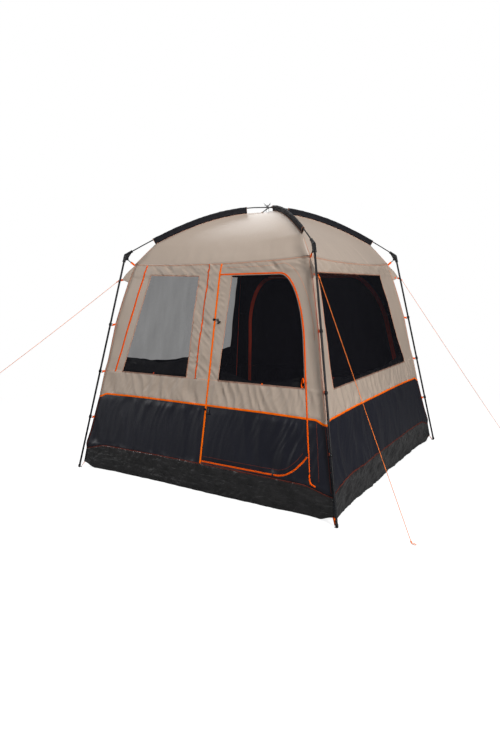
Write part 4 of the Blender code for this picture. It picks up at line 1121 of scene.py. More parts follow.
def tub_line(side):
    return pinned(across(lambda u: tub_z(u, side), -TUB_END, TUB_END), TUB_END, TUB_CORNER)


def ring(*parts):
    """One loop from lines that follow each other, without doubled points."""
    made = []
    for p in (p for part in parts for p in part):
        if not made or math.dist(p, made[-1]) > 1e-5:
            made.append(p)
    if math.dist(made[0], made[-1]) < 1e-5:
        made.pop()
    return made


def lower_edges(side):
    """The left corner down, the tub seam to the right and the right corner up."""
    right = corner_edge(TUB_CORNER, BAND_LOW)
    return mirrored(right), tub_line(side), right


# Walls and doors

DOOR_BAND_U = door_side_u(BAND_Z)
BACK_BAND_U = back_u(BAND_Z)
RIGHT_EDGE = corner_edge(BAND_LOW, seam_z(1))
UPPER_EDGES = (RIGHT_EDGE, seam_line()[::-1], mirrored(RIGHT_EDGE))
NET_LAP = 0.008
CUT_CLEAR = 0.004


def add_walls():
    seam_u = DOOR_EDGE - GAP
    left_band, right_band = band_line(end=seam_u), band_line(DOOR_BAND_U)
    opening = offset_line([*DOOR_HEAD, DOOR_ARC_END, door_side(BAND_Z + 0.003)], GAP)
    outline = ring(left_band, [(seam_u, opening[0][1])], opening, right_band, *UPPER_EDGES)
    cloth("front_tan_wall", FRONT, outline, TAN, "front_upper_wall", [front_window()], 0.011)
    band_corner = (DOOR_BAND_U, band_z(DOOR_BAND_U))
    around = offset_line([band_corner, DOOR_MEETS, *reversed(DOOR_FOOT)], GAP)
    hinge = [(seam_u, around[-1][1])]
    outline = ring(*lower_edges(FRONT), right_band[::-1], around, hinge, left_band[::-1])
    cloth("front_dark_wall", FRONT, outline, NAVY, "front_lower_wall")
    for side, size in ((RIGHT, 0.0125), (LEFT, COARSE_MESH)):
        name = SIDE_NAMES[side]
        holes = [side_window(side)]
        outline = ring(band_line(), *UPPER_EDGES)
        cloth(f"{name}_tan_wall", side, outline, TAN, f"{name}_upper_wall", holes, size)
        outline = ring(*lower_edges(side), band_line()[::-1])
        cloth(f"{name}_dark_wall", side, outline, NAVY, f"{name}_lower_wall", size=size)
        net(f"{name}_mesh", side, side_window(side, NET_LAP), f"{name}_window_mesh")
    net("front_mesh", FRONT, front_window(NET_LAP), "front_window_mesh")
    add_back_wall()


def both_sides(name, outline, material):
    """A panel of the back wall's right side and its mirror image."""
    cloth(f"{name}_right", BACK, outline, material, size=COARSE_MESH)
    cloth(f"{name}_left", BACK, mirrored(outline), material, size=COARSE_MESH)


def add_back_wall():
    """The arch's surround, cut at the shoulders and at the door's foot."""
    right, top, left = UPPER_EDGES
    arch = offset_line(BACK_LINE, -GAP)
    rise = [p for p in arch if p[0] > 0.5]
    split = float(np.interp(SHOULDER, [z for _, z in rise], [u for u, _ in rise]))
    corner_u = wall_half(SHOULDER)
    over, under = SHOULDER + CUT_CLEAR, SHOULDER - CUT_CLEAR
    outline = ring(
        [(-corner_u, SHOULDER), (-split, SHOULDER)],
        above(arch[::-1], over),
        [(split, SHOULDER), (corner_u, SHOULDER)],
        above(right, over),
        top,
        above(left, over),
    )
    cloth("back_tan_head", BACK, outline, TAN, "back_upper_wall", size=COARSE_MESH)
    band = band_line(BACK_BAND_U + GAP)
    shoulder = [(corner_u, SHOULDER), (split, SHOULDER)]
    side = above(below(rise[::-1], under), BAND_Z + CUT_CLEAR)
    both_sides("back_tan_side", ring(band, below(right, under), shoulder, side), TAN)

    left_low, bottom, right_low = lower_edges(BACK)
    foot, low = BACK_FOOT + GAP, BACK_SILL - GAP
    cut = [(foot, low), (wall_half(low), low)]
    ends = [below(edge, low - 0.003) for edge in (left_low, right_low)]
    outline = ring(ends[0], bottom, ends[1], cut[::-1], mirrored(cut[::-1]))
    cloth("back_dark_foot", BACK, outline, NAVY, "back_lower_wall", size=COARSE_MESH)
    both_sides("back_dark_side", ring(cut, above(right_low, low + 0.003), band[::-1]), NAVY)


def add_doors():
    edge = DOOR_EDGE + GAP
    band = band_line(edge, DOOR_BAND_U)
    head = [(edge, DOOR_TOP), *DOOR_HEAD[1:], DOOR_ARC_END, door_side(band_z(DOOR_BAND_U))]
    outline = ring(band, head[::-1])
    holes = [door_window()]
    cloth("door_tan_panel", FRONT, outline, TAN, "front_door_upper", holes, 0.009, "front_door")
    outline = ring([(edge, DOOR_BOTTOM), *DOOR_FOOT[1:], DOOR_MEETS], band[::-1])
    cloth("door_dark_panel", FRONT, outline, NAVY, "front_door_lower", body="front_door")
    net("door_mesh", FRONT, door_window(NET_LAP), "front_door_mesh", "front_door")

    body = "back_door"
    band = band_line(-BACK_BAND_U, BACK_BAND_U)
    outline = ring(band, above(BACK_LINE, BAND_Z + CUT_CLEAR))
    cloth("back_door_tan_panel", BACK, outline, TAN, "back_door_upper", (), COARSE_MESH, body)
    cut_z, low = BACK_SILL + 0.020, BACK_SILL + 0.0015
    foot = [(back_u(cut_z), low), (back_u(cut_z), cut_z)]
    outline = ring(mirrored(foot), foot, band[::-1])
    cloth("back_door_dark_panel", BACK, outline, NAVY, "back_door_lower", (), COARSE_MESH, body)


# Tub

FLOOR_RINGS = 14
FLOOR_LIFT = 0.0015
TUB_FOOT_Z = floor_z(wall_half(0))
TUB_FOOT_U = wall_half(TUB_FOOT_Z)
TUB_FOOT = pinned(across(floor_z, -TUB_FOOT_U, TUB_FOOT_U), TUB_FOOT_U, TUB_FOOT_Z)


def add_tub():
    """The tub's sides, which turn up to the lower walls, and its floor."""
    right = corner_edge(TUB_FOOT_Z, TUB_CORNER)
    for side, name in enumerate(SIDE_NAMES):
        outline = ring(TUB_FOOT, right, tub_line(side)[::-1], mirrored(right))
        size = 0.010 if side in (FRONT, RIGHT) else 0.016
        cloth(f"tub_{name}", side, outline, TUB, "floor_tub" if side == FRONT else None, (), size)
    rows = []
    for k in range(-1, FLOOR_RINGS + 1):
        share = 1 - 0.985 * max(0, k) / FLOOR_RINGS
        rise = 0.014 if k < 0 else 0.0
        row = []
        for side in range(4):
            for u, z in TUB_FOOT[:-1]:
                rim = skin(side, u, z + rise, -0.0012)
                x, y = rim.x * share, rim.y * share
                high = (rim.z - FLOOR_LIFT) * step(0.80, 1.0, share)
                high += 0.0008 * ripple(x * 9, y * 9, 2.0) * (share < 1)
                row.append(Vector((x, y, max(0.0008, FLOOR_LIFT + high))))
        rows.append(row)
    store = Store()
    store.grid(rows, [[(p.x, p.y) for p in row] for row in rows], wrap=True)
    store.cap(len(store.points) - len(rows[-1]), len(rows[-1]))
    floor = store.made("tub_floor", (TUB, INNER_SHADE))
    thicken(floor, 0.0005)


# Roof

ROOF_COLUMNS = 84
ROOF_SAG = 0.026
SEAM_BLEND = 16


def ridge(d):
    """The roof cloth under a rod, as half width and height."""
    z, slope = rod_line(d)
    down = Vector((slope, -1)).normalized() * ROOF_DROP
    return (d + down.x) / SQRT2, z + down.y


def roof_profile():
    """The roof's line from the crown to the seam, as half width and height."""
    start, end = 0.030 * SQRT2, SLEEVE_END * SQRT2
    made = [(0.004, ridge(0)[1] + 0.001), (0.030, ridge(0)[1])]
    made += [ridge(start + (end - start) * t) for t in shares(44)[1:]]
    half, z = made[-1]
    return made + [(half + (SEAM_HALF - half) * t, z + (SEAM_Z - z) * t) for t in shares(10)[1:]]


def eased(profile):
    """The same line with its bends smoothed out, as cloth pulled tight spans them."""
    line = np.array(profile)
    for _ in range(90):
        line[1:-1] += 0.25 * (line[2:] - 2 * line[1:-1] + line[:-2])
    return [tuple(p) for p in line]


def roof_point(side, s, edge, tight, way, down):
    """A point at a share across a roof panel and a share down it, with its place in it."""
    share = (1 - s * s) ** 0.7
    half, z = (a + share * (b - a) for a, b in zip(edge, tight))
    u = s * half
    sag = ROOF_SAG * (1 - s * s) * math.sin(math.pi * min(1.0, down * 1.05)) ** 0.8
    soft = 0.0035 * ripple(u * 2.1, z * 3 + side, 30.0 + side)
    crease = 0.0016 * fold((u + z) * 6, (u - z) * 3, 40.0 + side) * step(0.5, 0.95, down)
    move = (soft + crease) * step(1.0, 0.93, abs(s)) * step(0.0, 0.15, down) - sag
    return turned(u, -half + way.y * move, z + way.x * move, side), (u, 2.4 - z)


def add_roof():
    profile = roof_profile()
    slack = eased(profile)
    spine = [Vector(p) for p in profile]
    last = len(profile) - 1
    ridges = Store()
    for side, side_name in enumerate(SIDE_NAMES):
        rows = []
        for i, (edge, tight) in enumerate(zip(profile, slack)):
            way = way_at(spine, i).normalized()
            blend = max(0.0, (i - last + SEAM_BLEND) / SEAM_BLEND) ** 1.6
            row = []
            for k in range(ROOF_COLUMNS + 1):
                s = -1 + 2 * k / ROOF_COLUMNS
                point, place = roof_point(side, s, edge, tight, way, i / last)
                seam = skin(side, s * wall_half(seam_z(s)), seam_z(s))
                lift = seam - turned(s * SEAM_HALF, -SEAM_HALF, SEAM_Z, side)
                row.append((seam if i == last else point + lift * blend, place))
            rows.append(row)
        store = Store()
        store.surface(rows, turn=True)
        node = "roof" if side == FRONT else None
        made = store.made(f"roof_{side_name}", (ROOF_TAN, INNER_SHADE), node)
        thicken(made)
        bare = [row[-1][0] for row, (half, _) in zip(rows, profile) if half > SLEEVE_END]
        tube(ridges, bare, 0.0016, 8)
    ridges.made("roof_ridge_binding", SALMON)


ROD_LIFTS = {"front_left": ROD_RADIUS + GAP, "front_right": -ROD_RADIUS - GAP}
OPPOSITE = {"back_right": "front_left", "back_left": "front_right"}
SLEEVE_ROWS = 110
SLEEVE_RADIUS = 0.0092
SEWN_FLAT = 0.012


def rod_frame(corner, d, lift):
    """A rod's centre at a distance from the crown, with its ways across and up."""
    z, slope = rod_line(d)
    share = max(0.0, 1 - (d / MOUTH_D) ** 2) ** 2
    up = corner_point(corner, -slope, 1).normalized()
    return corner_point(corner, d, z + lift * share), across_way(corner), up


def add_sleeves():
    """A sleeve over each half of each rod, a little puckered, with hemmed ends."""
    arc = [math.radians(a) for a in range(-35, 216, 25)]
    start, end = SLEEVE_START * SQRT2, SLEEVE_END * SQRT2
    for number, name in enumerate(CORNERS):
        corner = OPPOSITE.get(name, name)
        sign = 1 if name in ROD_LIFTS else -1
        rows = []
        for t in shares(SLEEVE_ROWS):
            d = sign * (start + (end - start) * t)
            centre, side, up = rod_frame(corner, d, ROD_LIFTS[corner])
            foot = rod_frame(corner, d, 0)[0] - up * (ROOF_DROP + 0.001)
            wave = 0.0010 * ripple(d * 26, number * 3.1, 4.4)
            edge = 0.0010 * (step(0.985, 1.0, t) + step(0.015, 0.0, t))
            radius = SLEEVE_RADIUS + wave + edge
            throat = foot + up * SEWN_FLAT
            row = [foot + side * 0.0022, throat + side * (0.0034 + wave)]
            for a in arc:
                local = radius + 0.0006 * ripple(d * 60, a * 2, 7.0)
                row.append(centre + local * (math.cos(a) * side + math.sin(a) * up))
            rows.append([*row, throat - side * (0.0034 - wave), foot - side * 0.0022])
        store = Store()
        uvs = [[(i * 0.0075, k * 0.006) for k in range(len(row))] for i, row in enumerate(rows)]
        store.grid(rows, uvs, turn=sign > 0)
        made = store.made(f"sleeve_{name}", (SLEEVE, SLEEVE), f"pole_sleeve_{name}")
        thicken(made, 0.0006)
        hems = Store()
        for row in (rows[0], rows[-1]):
            tube(hems, row[1:-1], 0.0011, 6)
        for k in (0, -1):
            tube(hems, [row[k] for row in rows[::2]], 0.0012, 6)
        hems.made(f"sleeve_hem_{name}", SALMON)


# Trims


def hinge_line():
    top = seam_z(HINGE_U / 0.83) - 0.002
    return [(HINGE_U + 0.010, top), (HINGE_U, DOOR_TOP + 0.004), (HINGE_U, tub_z(HINGE_U, FRONT))]


DOOR_TAIL = [door_side(z) for z in (0.39, 0.34, 0.30)]
CURL_BEND, CURL_END = (0.993, 0.236), (1.038, 0.222)
CURL = [*bezier(DOOR_SIDE_FOOT, CURL_BEND, CURL_BEND, CURL_END, 8), CURL_END]
ZIP_BY_DOOR = [*DOOR_HEAD, DOOR_ARC_END, *DOOR_TAIL]
ZIP_PAST_DOOR = [DOOR_TAIL[-1], *CURL]


def beside_zip(distance, low):
    """The seam outside the door's zip, from the header to a height."""
    line = offset_line([*DOOR_HEAD[1:], DOOR_ARC_END, door_side(0.24)], distance)
    head = [(HINGE_U + 0.01, DOOR_TOP + distance * 0.72), (0.45, DOOR_TOP + distance * 0.74)]
    return [*head, *[p for p in above(line, low) if p[0] > 0.62]]


SEAM_BESIDE_ZIP = 0.070
ZIP_1 = [(-0.680, 1.731), (-0.910, SILL_Z - 0.004)]
ZIP_2 = [(-0.033, 1.722), (-0.055, SILL_Z - 0.004)]
BESIDE_HINGE = HINGE_U - BAND_STOP
BESIDE_DOOR = DOOR_BAND_U + BAND_STOP
BESIDE_BACK = BACK_BAND_U + BAND_STOP
DOOR_BAND = (HINGE_U + BAND_STOP, DOOR_BAND_U - BAND_STOP)


def add_band():
    """The orange band on all four sides, each half one piece, and on the doors."""
    runs = [
        (FRONT, band_line(end=BESIDE_HINGE), BAND_TAPE),
        (LEFT, band_line(), BAND_TAPE),
        (BACK, band_line(BESIDE_BACK), BAND_TAPE),
        (FRONT, hinge_line(), flat_section(0.0070, 0.0018)),
    ]
    trim("band_left", runs, ORANGE_TAPE, node="seam_trim_left", lift=TAPE_LIFT)
    runs = [
        (FRONT, band_line(BESIDE_DOOR), BAND_TAPE),
        (RIGHT, band_line(), BAND_TAPE),
        (BACK, band_line(end=-BESIDE_BACK), BAND_TAPE),
    ]
    trim("band_right", runs, ORANGE_TAPE, node="seam_trim_right", lift=TAPE_LIFT)
    inside_back = BACK_BAND_U - BAND_STOP
    for body, side, ends in (
        ("front_door", FRONT, DOOR_BAND),
        ("back_door", BACK, (-inside_back, inside_back)),
    ):
        runs = [(side, band_line(*ends), BAND_TAPE)]
        trim(f"band_{body}", runs, ORANGE_TAPE, body, lift=TAPE_LIFT)


def add_zips():
    """Each zip in two halves, one on each cloth, and the back zip's tapes inside."""
    foot_line = [*reversed(DOOR_FOOT[1:]), (HINGE_U + 0.008, DOOR_BOTTOM)]
    left, right = zip_section(True), zip_section(False)
    runs = [
        (FRONT, ZIP_BY_DOOR, left),
        (FRONT, ZIP_PAST_DOOR, left),
        (FRONT, ZIP_PAST_DOOR, right),
        (FRONT, foot_line, left),
    ]
    trim("front_zip_frame_half", runs, ZIP, node="front_zip_frame", lift=ZIP_LIFT)
    inner_line = [*DOOR_HEAD, DOOR_ARC_END, door_side(0.43)]
    runs = [(FRONT, line, right) for line in (inner_line, foot_line)]
    trim("front_zip_door_half", runs, ZIP, "front_door", "front_door_zip", ZIP_LIFT)
    foot_z = BACK_SILL + 0.007
    rise = [(back_u(foot_z), foot_z), *BACK_HALF[1:]]
    arch = [*rise, *mirrored(rise)]
    halves = (
        ("frame", "tent", "back_zip_frame", False),
        ("door", "back_door", "back_door_zip", True),
    )
    for name, body, node, on_left in halves:
        runs = [(BACK, arch, zip_section(on_left))]
        trim(f"back_zip_{name}_half", runs, ZIP, body, node, ZIP_LIFT)
    for name, body, _, on_left in halves:
        runs = [(BACK, arch, flat_section(0.0095, 0.0008, 0.0100 if on_left else -0.0100))]
        trim(f"back_zip_tape_{name}", runs, RED_TAPE, body, lift=INNER_LIFT, inner=True)
    runs = [
        (FRONT, line, zip_section(on_left, half))
        for line, half in ((ZIP_1, 0.0080), (ZIP_2, 0.0072))
        for on_left in (True, False)
    ]
    trim("window_panel_zips", runs, ZIP, lift=ZIP_LIFT)
    lip = [(0.0224, -0.0002), (0.0194, 0.0012), (0.0089, 0.0034), (0.0064, 0.0030), (0.0064, -0.0002)]
    trim("window_zip_lips", [(FRONT, ZIP_2, lip)], TAN, lift=TAPE_LIFT)


def add_bindings():
    """Back seams, the roof's seam and the edges of the windows."""
    tape_z, tape_u = BACK_SILL - 0.0058, BACK_FOOT - 0.01
    runs = [(BACK, [(-tape_u, tape_z), (tape_u, tape_z)], flat_section(0.0045, 0.0010))]
    trim("back_hinge_tape", runs, BLACK_TAPE, lift=TAPE_LIFT)
    lap_ends = (wall_half(SHOULDER) - 0.012, back_u(SHOULDER) + 0.009)
    runs = []
    for sign in (1, -1):
        runs.append((BACK, [(sign * u, SHOULDER) for u in lap_ends], flat_section(0.0080, 0.0012)))
    trim("back_lap_seams", runs, TAN, lift=TAPE_LIFT)
    trim("roof_seam_binding", [(side, seam_line(), BEAD) for side in range(4)], SALMON)
    windows = ((FRONT, front_window()), (RIGHT, side_window(RIGHT)), (LEFT, side_window(LEFT)))
    for side, loop in windows:
        name = SIDE_NAMES[side]
        trim(f"{name}_window_binding", [(side, [*loop[1:], loop[0]], BEAD)], SALMON)
        trim(f"{name}_window_sill", [(side, loop[:2], SILL_HEM)], BROWN)
    body = "front_door"
    opening = door_window()
    trim("door_window_binding", [(FRONT, opening[:2], BEAD)], SALMON, body)
    runs = [(FRONT, opening[1:], flat_section(0.0034, 0.0012, 0.0026))]
    trim("door_window_edge", runs, BLACK_TAPE, body, lift=ZIP_LIFT)
    trim("door_window_sill", [(FRONT, [opening[0], opening[-1]], SILL_HEM)], BROWN, body)


CORNER_INSET = 0.011
CORNER_BEAD = 0.0022


def beside_corners(heights):
    """A seam's thread beside both corners of each wall."""
    runs = []
    for side in range(4):
        for sign in (-1, 1):
            edge = [(sign * (wall_half(z) - CORNER_INSET), z) for z in heights]
            runs.append((side, edge, THREAD))
    return runs


def add_seam_threads():
    sill_z = SILL_Z - 0.002
    lines = (
        [(-wall_half(SILL_Z) + 0.012, sill_z), (-0.836, sill_z)],
        [(-0.139, sill_z), (HINGE_U - 0.008, SILL_Z - 0.004)],
        beside_zip(SEAM_BESIDE_ZIP, BAND_Z + 0.008),
    )
    runs = [(FRONT, line, THREAD) for line in lines]
    trim("wall_seam_thread", runs + beside_corners((BAND_Z + 0.005, 1.20, 1.735)), SALMON)
    runs = [(FRONT, [(HINGE_U + 0.008, sill_z), (0.158, sill_z)], THREAD)]
    trim("door_seam_thread", runs, SALMON, "front_door")
    low_side = [door_side(0.63), door_side(0.245)]
    runs = [(FRONT, offset_line(low_side, SEAM_BESIDE_ZIP), THREAD)]
    runs += [(side, tub_line(side), TUB_THREAD) for side in range(4)]
    trim("dark_seam_threads", runs + beside_corners((0.20, 0.40, 0.622)), DARK_SALMON)
    line = [p for p in offset_line(DOOR_FOOT, 0.037) if p[0] < door_side_u(p[1]) - 0.012]
    trim("door_dark_seam_thread", [(FRONT, line, THREAD)], DARK_SALMON, "front_door")


def add_corner_seams():
    """The rolled seams at the cabin's corners and the binding inside them."""
    tan, dark, inner = Store(), Store(), Store()
    heights = [0.05 + (seam_z(1) - 0.05) * k / 99 for k in range(100)]
    for corner in CORNERS:
        line = [corner_point(corner, edge_out(z), z) for z in heights]
        within = [corner_point(corner, edge_out(z) - 0.006, z) for z in heights if z > 0.30]
        tube(tan, [p for p in line if p.z > BAND_LOW + BAND_STOP], CORNER_BEAD, 8)
        tube(dark, [p for p in line if p.z < BAND_LOW - BAND_STOP], CORNER_BEAD, 8)
        tube(inner, within, 0.0042, 6)
    tan.made("corner_seams_tan", TAN)
    dark.made("corner_seams_dark", NAVY)
    inner.made("inner_corner_binding", RED_TAPE)


def add_stitching():
    """Rows of stitches beside the seams that face the viewer."""
    on_tape = BAND_HIGH + 0.0004
    rows = (-0.0046, 0.0046)
    bands = (
        (FRONT, band_line(end=BESIDE_HINGE)),
        (FRONT, band_line(BESIDE_DOOR)),
        (RIGHT, band_line()),
    )
    runs = [(side, line, row) for side, line in bands for row in rows]
    stitches("band_stitches", runs, ORANGE_WEB, lift=on_tape)
    runs = [(FRONT, band_line(*DOOR_BAND), row) for row in rows]
    stitches("door_band_stitches", runs, ORANGE_WEB, "front_door", lift=on_tape)
    windows = ((FRONT, front_window()), (RIGHT, side_window(RIGHT)))
    runs = [(side, [*loop[1:], loop[0]], 0.0055) for side, loop in windows]
    runs += [(side, seam_line(), -0.006) for side in (FRONT, RIGHT)]
    stitches("tan_stitches", runs, SALMON, slot="tan_polyester")
    opening = door_window()
    runs = [(FRONT, opening[1:], 0.0055), (FRONT, [opening[0], opening[-1]], -0.0085)]
    stitches("door_tan_stitches", runs, SALMON, "front_door", "tan_polyester")
    runs = [(side, tub_line(side), -0.0065) for side in (FRONT, RIGHT)]
    stitches("tub_stitches", runs, DARK_SALMON, slot="coated_floor_sheet")


# Storm flaps

FLAP_TURN = 0.55
FLAP_STAND = 0.0045
FLAP_FALL = 0.026
FLAP_LIFT = 0.006


def flap_point(side, u, sill, tall, deep, a, seed):
    """A point at a share of the way up a dropped flap's face and down behind it."""
    if a < FLAP_TURN:
        high = tall * math.sin(a / FLAP_TURN * math.pi / 2) ** 0.9
        inward = FLAP_STAND + deep * 0.35 * (a / FLAP_TURN) ** 2
    else:
        back = (a - FLAP_TURN) / (1 - FLAP_TURN)
        high = tall - (tall + FLAP_FALL) * back**1.4
        inward = FLAP_STAND + deep * (0.35 + 0.65 * math.sin(back * math.pi / 2))
    wrinkle = 0.0035 * fold(u * 16 + high * 10, high * 14 + a * 2, seed + 5) * min(1.0, a * 3)
    drape = 0.004 * ripple(u * 6, a * 2.5, seed + 8) * min(1.0, a * 2)
    inner = turned(0, inward + max(-0.003, wrinkle + drape), 0, side)
    return skin(side, u, sill + high - FLAP_LIFT, 0.0, flat=True) + inner


def storm_flap(which, side, ends, sill, heights, seed, body="tent"):
    """A window's flap, dropped inside its mesh: it rises from the sill and falls back."""
    rows = []
    for t in shares(64):
        u = ends[0] + (ends[1] - ends[0]) * t
        tall = float(np.interp(t, shares(len(heights) - 1), heights))
        tall += 0.006 * ripple(u * 9, 0.3, seed)
        deep = 0.012 + 0.004 * ripple(u * 7, 1.7, seed + 2)
        row = []
        for k, a in enumerate(shares(16)):
            row.append((flap_point(side, u, sill, tall, deep, a, seed), (u, k * 0.012)))
        rows.append(row)
    store = Store()
    store.surface(rows, turn=True)
    node = "front_door_storm_flap" if which == "door" else f"{which}_storm_flap"
    made = store.made(f"{which}_flap", (FLAP, FLAP), node, body)
    thicken(made, 0.0007)


def add_flaps():
    heights = (0.134, 0.121, 0.106, 0.104, 0.128, 0.158)
    storm_flap("front", FRONT, (-0.836, -0.140), SILL_Z, heights, 50.0)
    heights = (0.085, 0.045, 0.030, 0.028, 0.030, 0.05, 0.088)
    storm_flap("right", RIGHT, (-0.869, 0.792), SIDE_SILL, heights, 60.0)
    heights = (0.060, 0.035, 0.020, 0.016, 0.014, 0.030, 0.070, 0.105)
    storm_flap("left", LEFT, (-0.873, 0.842), SIDE_SILL, heights, 70.0)
    heights = (0.082, 0.060, 0.030, 0.024, 0.034, 0.060, 0.086)
    storm_flap("door", FRONT, (0.163, 0.873), SILL_Z, heights, 80.0, "front_door")


# Corner fittings


def clip(store, corner, z):
    """A snap clip round a leg: an open ring with a rib, a mouth and a bar for its webbing."""
    inner, outer, end = 0.00835, 0.0111, 0.011
    centre, outward, upward, across = leg_frame(corner, z)
    half = [(end, 0.0), (end - 0.0005, 0.0006), (0.004, 0.0006), (0.003, 0.0012)]
    heights = [*half, *((-h, more) for h, more in reversed(half))]
    rows = []
    for k in range(31):
        a = math.radians(150 + 270 * k / 30)
        radial = math.cos(a) * outward + math.sin(a) * across
        row = [centre + radial * inner + upward * h for h in (-end, end)]
        row += [centre + radial * (outer + more) + upward * h for h, more in heights]
        rows.append(row)
    store.pipe(rows)
    base, bar = centre - outward * CLIP_BACK, centre - outward * CLIP_BAR
    for h in (-0.0085, 0.0085):
        tube(store, [base + upward * h, bar + upward * h], 0.0019, 8)
    tube(store, [bar - upward * 0.0105, bar + upward * 0.0105], 0.0021, 8)


def clip_tab(store, corner, z):
    """A webbing tab from the wall's corner round the clip's bar and back."""
    centre, outward, upward, across = leg_frame(corner, z)
    bar = centre - outward * CLIP_BAR
    root = corner_point(corner, edge_out(z) - 0.006, z)
    middle = root.lerp(bar, 0.5)
    path = [root + across * 0.0008, middle + across * 0.0016]
    for k in range(9):
        a = math.pi / 2 - math.pi * k / 8
        path.append(bar + 0.0033 * (math.cos(a) * outward + math.sin(a) * across))
    path += [middle - across * 0.0016, root - across * 0.0008]
    strap(store, path, 0.0092, 0.0014, upward)


EYE = BEND - LEG_UP * EYE_BELOW + INWARD * EYE_ASIDE
HOOK_TARGET = Vector((SEAM_HALF * SQRT2, SEAM_Z))
HOOK_LOW = EYE + (HOOK_TARGET - EYE) * 0.55
EYE_RIM = 0.0060
LEG_SOCKET_RADIUS, ROD_SOCKET_RADIUS = 0.0125, 0.0105
WEB_SHARES = ((0.0, 0.0068), (0.45, 0.0060), (0.80, 0.0058), (0.93, 0.0068), (1.0, 0.0045), (1.02, 0.0))


def elbow_web(corner):
    """The moulded web between an elbow's sockets, with a rolled rim and the hook's hole."""
    under = Vector((MOUTH_ALONG.y, -MOUTH_ALONG.x))
    rod_end = BEND - MOUTH_ALONG * (ROD_SOCKET - 0.004)
    leg_end = BEND - LEG_UP * (LEG_SOCKET - 0.003)
    rim = [
        rod_end + under * 0.0085,
        rod_end + MOUTH_ALONG * 0.016 + under * 0.0125,
        EYE + INWARD * 0.0075 + LEG_UP * 0.008,
        EYE + INWARD * 0.0085 - LEG_UP * 0.003,
        EYE - LEG_UP * 0.0095 + INWARD * 0.001,
        leg_end + LEG_UP * 0.014 + INWARD * 0.0125,
        leg_end + INWARD * 0.0115,
    ]
    edge = spline(rim, 6)
    spine = []
    for t in shares(len(edge) - 1):
        spine.append(rod_end.lerp(BEND, t * 2) if t < 0.5 else BEND.lerp(leg_end, t * 2 - 1))
    store = Store()
    for sign in (1, -1):
        rows = []
        for within, outer in zip(spine, edge):
            row = []
            for a, thick in WEB_SHARES:
                p = within.lerp(outer, a)
                inset = 0.0052 * max(0.0, 1 - (p - EYE).length / EYE_RIM) ** 0.5
                row.append(corner_point(corner, p.x, p.y, sign * max(0.0, thick - inset)))
            rows.append(row)
        store.grid(rows, turn=sign > 0)
    first, second = (corner_point(corner, *way) for way in (INWARD, LEG_UP))
    for side in (0.0062, -0.0062):
        hole = circle(corner_point(corner, *EYE, side), first, second, 0.0050, 16)
        tube(store, hole, 0.0013, 8, closed=True)
    store.made(f"elbow_web_{corner}", PLASTIC)


def hook_route(corner):
    """The wire hook's route in the corner's plane, through the elbow's eye."""
    bearing = EYE_HOLE - HOOK_WIRE - GAP
    clear = EYE_HALF + HOOK_WIRE + GAP * 4
    over = EYE_THICKNESS / 2 + HOOK_WIRE + GAP * 2
    middle = (bearing + clear) / 2
    route = [EYE + INWARD * bearing - LEG_UP * (over + 0.006)]
    for k in range(13):
        a = math.pi * (1 - k / 12)
        aside = middle + (clear - middle) * math.cos(a)
        route.append(EYE + INWARD * aside + LEG_UP * (over + (clear - middle) * math.sin(a) * 0.8))
    route += [EYE + INWARD * clear - LEG_UP * over, HOOK_LOW]
    return [corner_point(corner, *p) for p in route]


def hook_strap(store, corner):
    """Webbing doubled round the hook's lower end and sewn to the roof's corner."""
    across = across_way(corner)
    way = (HOOK_TARGET - EYE).normalized()
    start = corner_point(corner, *(HOOK_LOW - way * 0.003))
    finish = corner_point(corner, *(HOOK_TARGET + way * 0.002))
    middle = start.lerp(finish, 0.5)
    loop = [finish + across * 0.001, middle + across * 0.0026, start + across * 0.0022]
    loop += [start - (finish - start).normalized() * 0.0022]
    loop += [start - across * 0.0022, middle - across * 0.0026, finish - across * 0.001]
    strap(store, loop, 0.0080, 0.0014, corner_point(corner, way.y, -way.x))


def foot_strap(store, corner):
    """Webbing from the floor's corner to the ring pin."""
    ring_d = leg_d(0) - 2 * RING_RADIUS - RING_WIRE - GAP
    low = corner_point(corner, ring_d + 0.003, 0.010)
    high = corner_point(corner, edge_out(0.05) - 0.010, 0.052)
    strap(store, [high, high.lerp(low, 0.5) + UP * 0.002, low], 0.010, 0.0016, across_way(corner))


def guy_strap(store, corner):
    """Webbing from the gusset's tip past the leg to the guyline's loop."""
    tip_d, tip_z = TAB_TIP
    aside = LOOP_ACROSS * LOOP_SIDES[corner]
    path = [
        corner_point(corner, tip_d - GUY_LOOP, tip_z),
        corner_point(corner, tip_d, tip_z, aside * 0.1),
        corner_point(corner, leg_d(tip_z) - LEG_RADIUS - 0.004, tip_z - 0.004, aside),
        loop_end(corner),
    ]
    strap(store, path, 0.008, 0.0016, UP)


def gusset(corner):
    """The tan triangle at a roof corner, doubled cloth with a slight cup."""
    rows = []
    top, bottom, point = 1.737, 1.596, 0.84
    for t in shares(12):
        z = top + (bottom - top) * t
        root = edge_out(z) - 0.003
        reach = max(0.0, 1 - abs(t - point) / (point if t < point else 1 - point))
        tip = root + (TAB_TIP[0] + 0.022 - root) * reach + 0.001
        row = []
        for a in shares(10):
            d = root + (tip - root) * a
            cup = 0.0022 * math.sin(a * math.pi) * math.sin(t * math.pi)
            cup += 0.0010 * ripple(d * 40, z * 30, 6.0)
            row.append((corner_point(corner, d, z, cup), (d, z)))
        rows.append(row)
    store = Store()
    store.surface(rows)
    made = store.made(f"gusset_{corner}", (TAN, TAN))
    thicken(made, 0.0016).offset = 0


def foot_cap(corner):
    rows = []
    lip = ((0.006, 0.0088), (0.007, 0.0106), (0.024, 0.0106), (0.0265, 0.0098), (0.0275, 0.0084))
    for z, radius in lip:
        centre, outward, _, across = leg_frame(corner, z)
        rows.append(circle(centre, outward, across, radius, 24))
    store = Store()
    store.grid(rows, wrap=True)
    store.made(f"foot_cap_{corner}", PLASTIC)


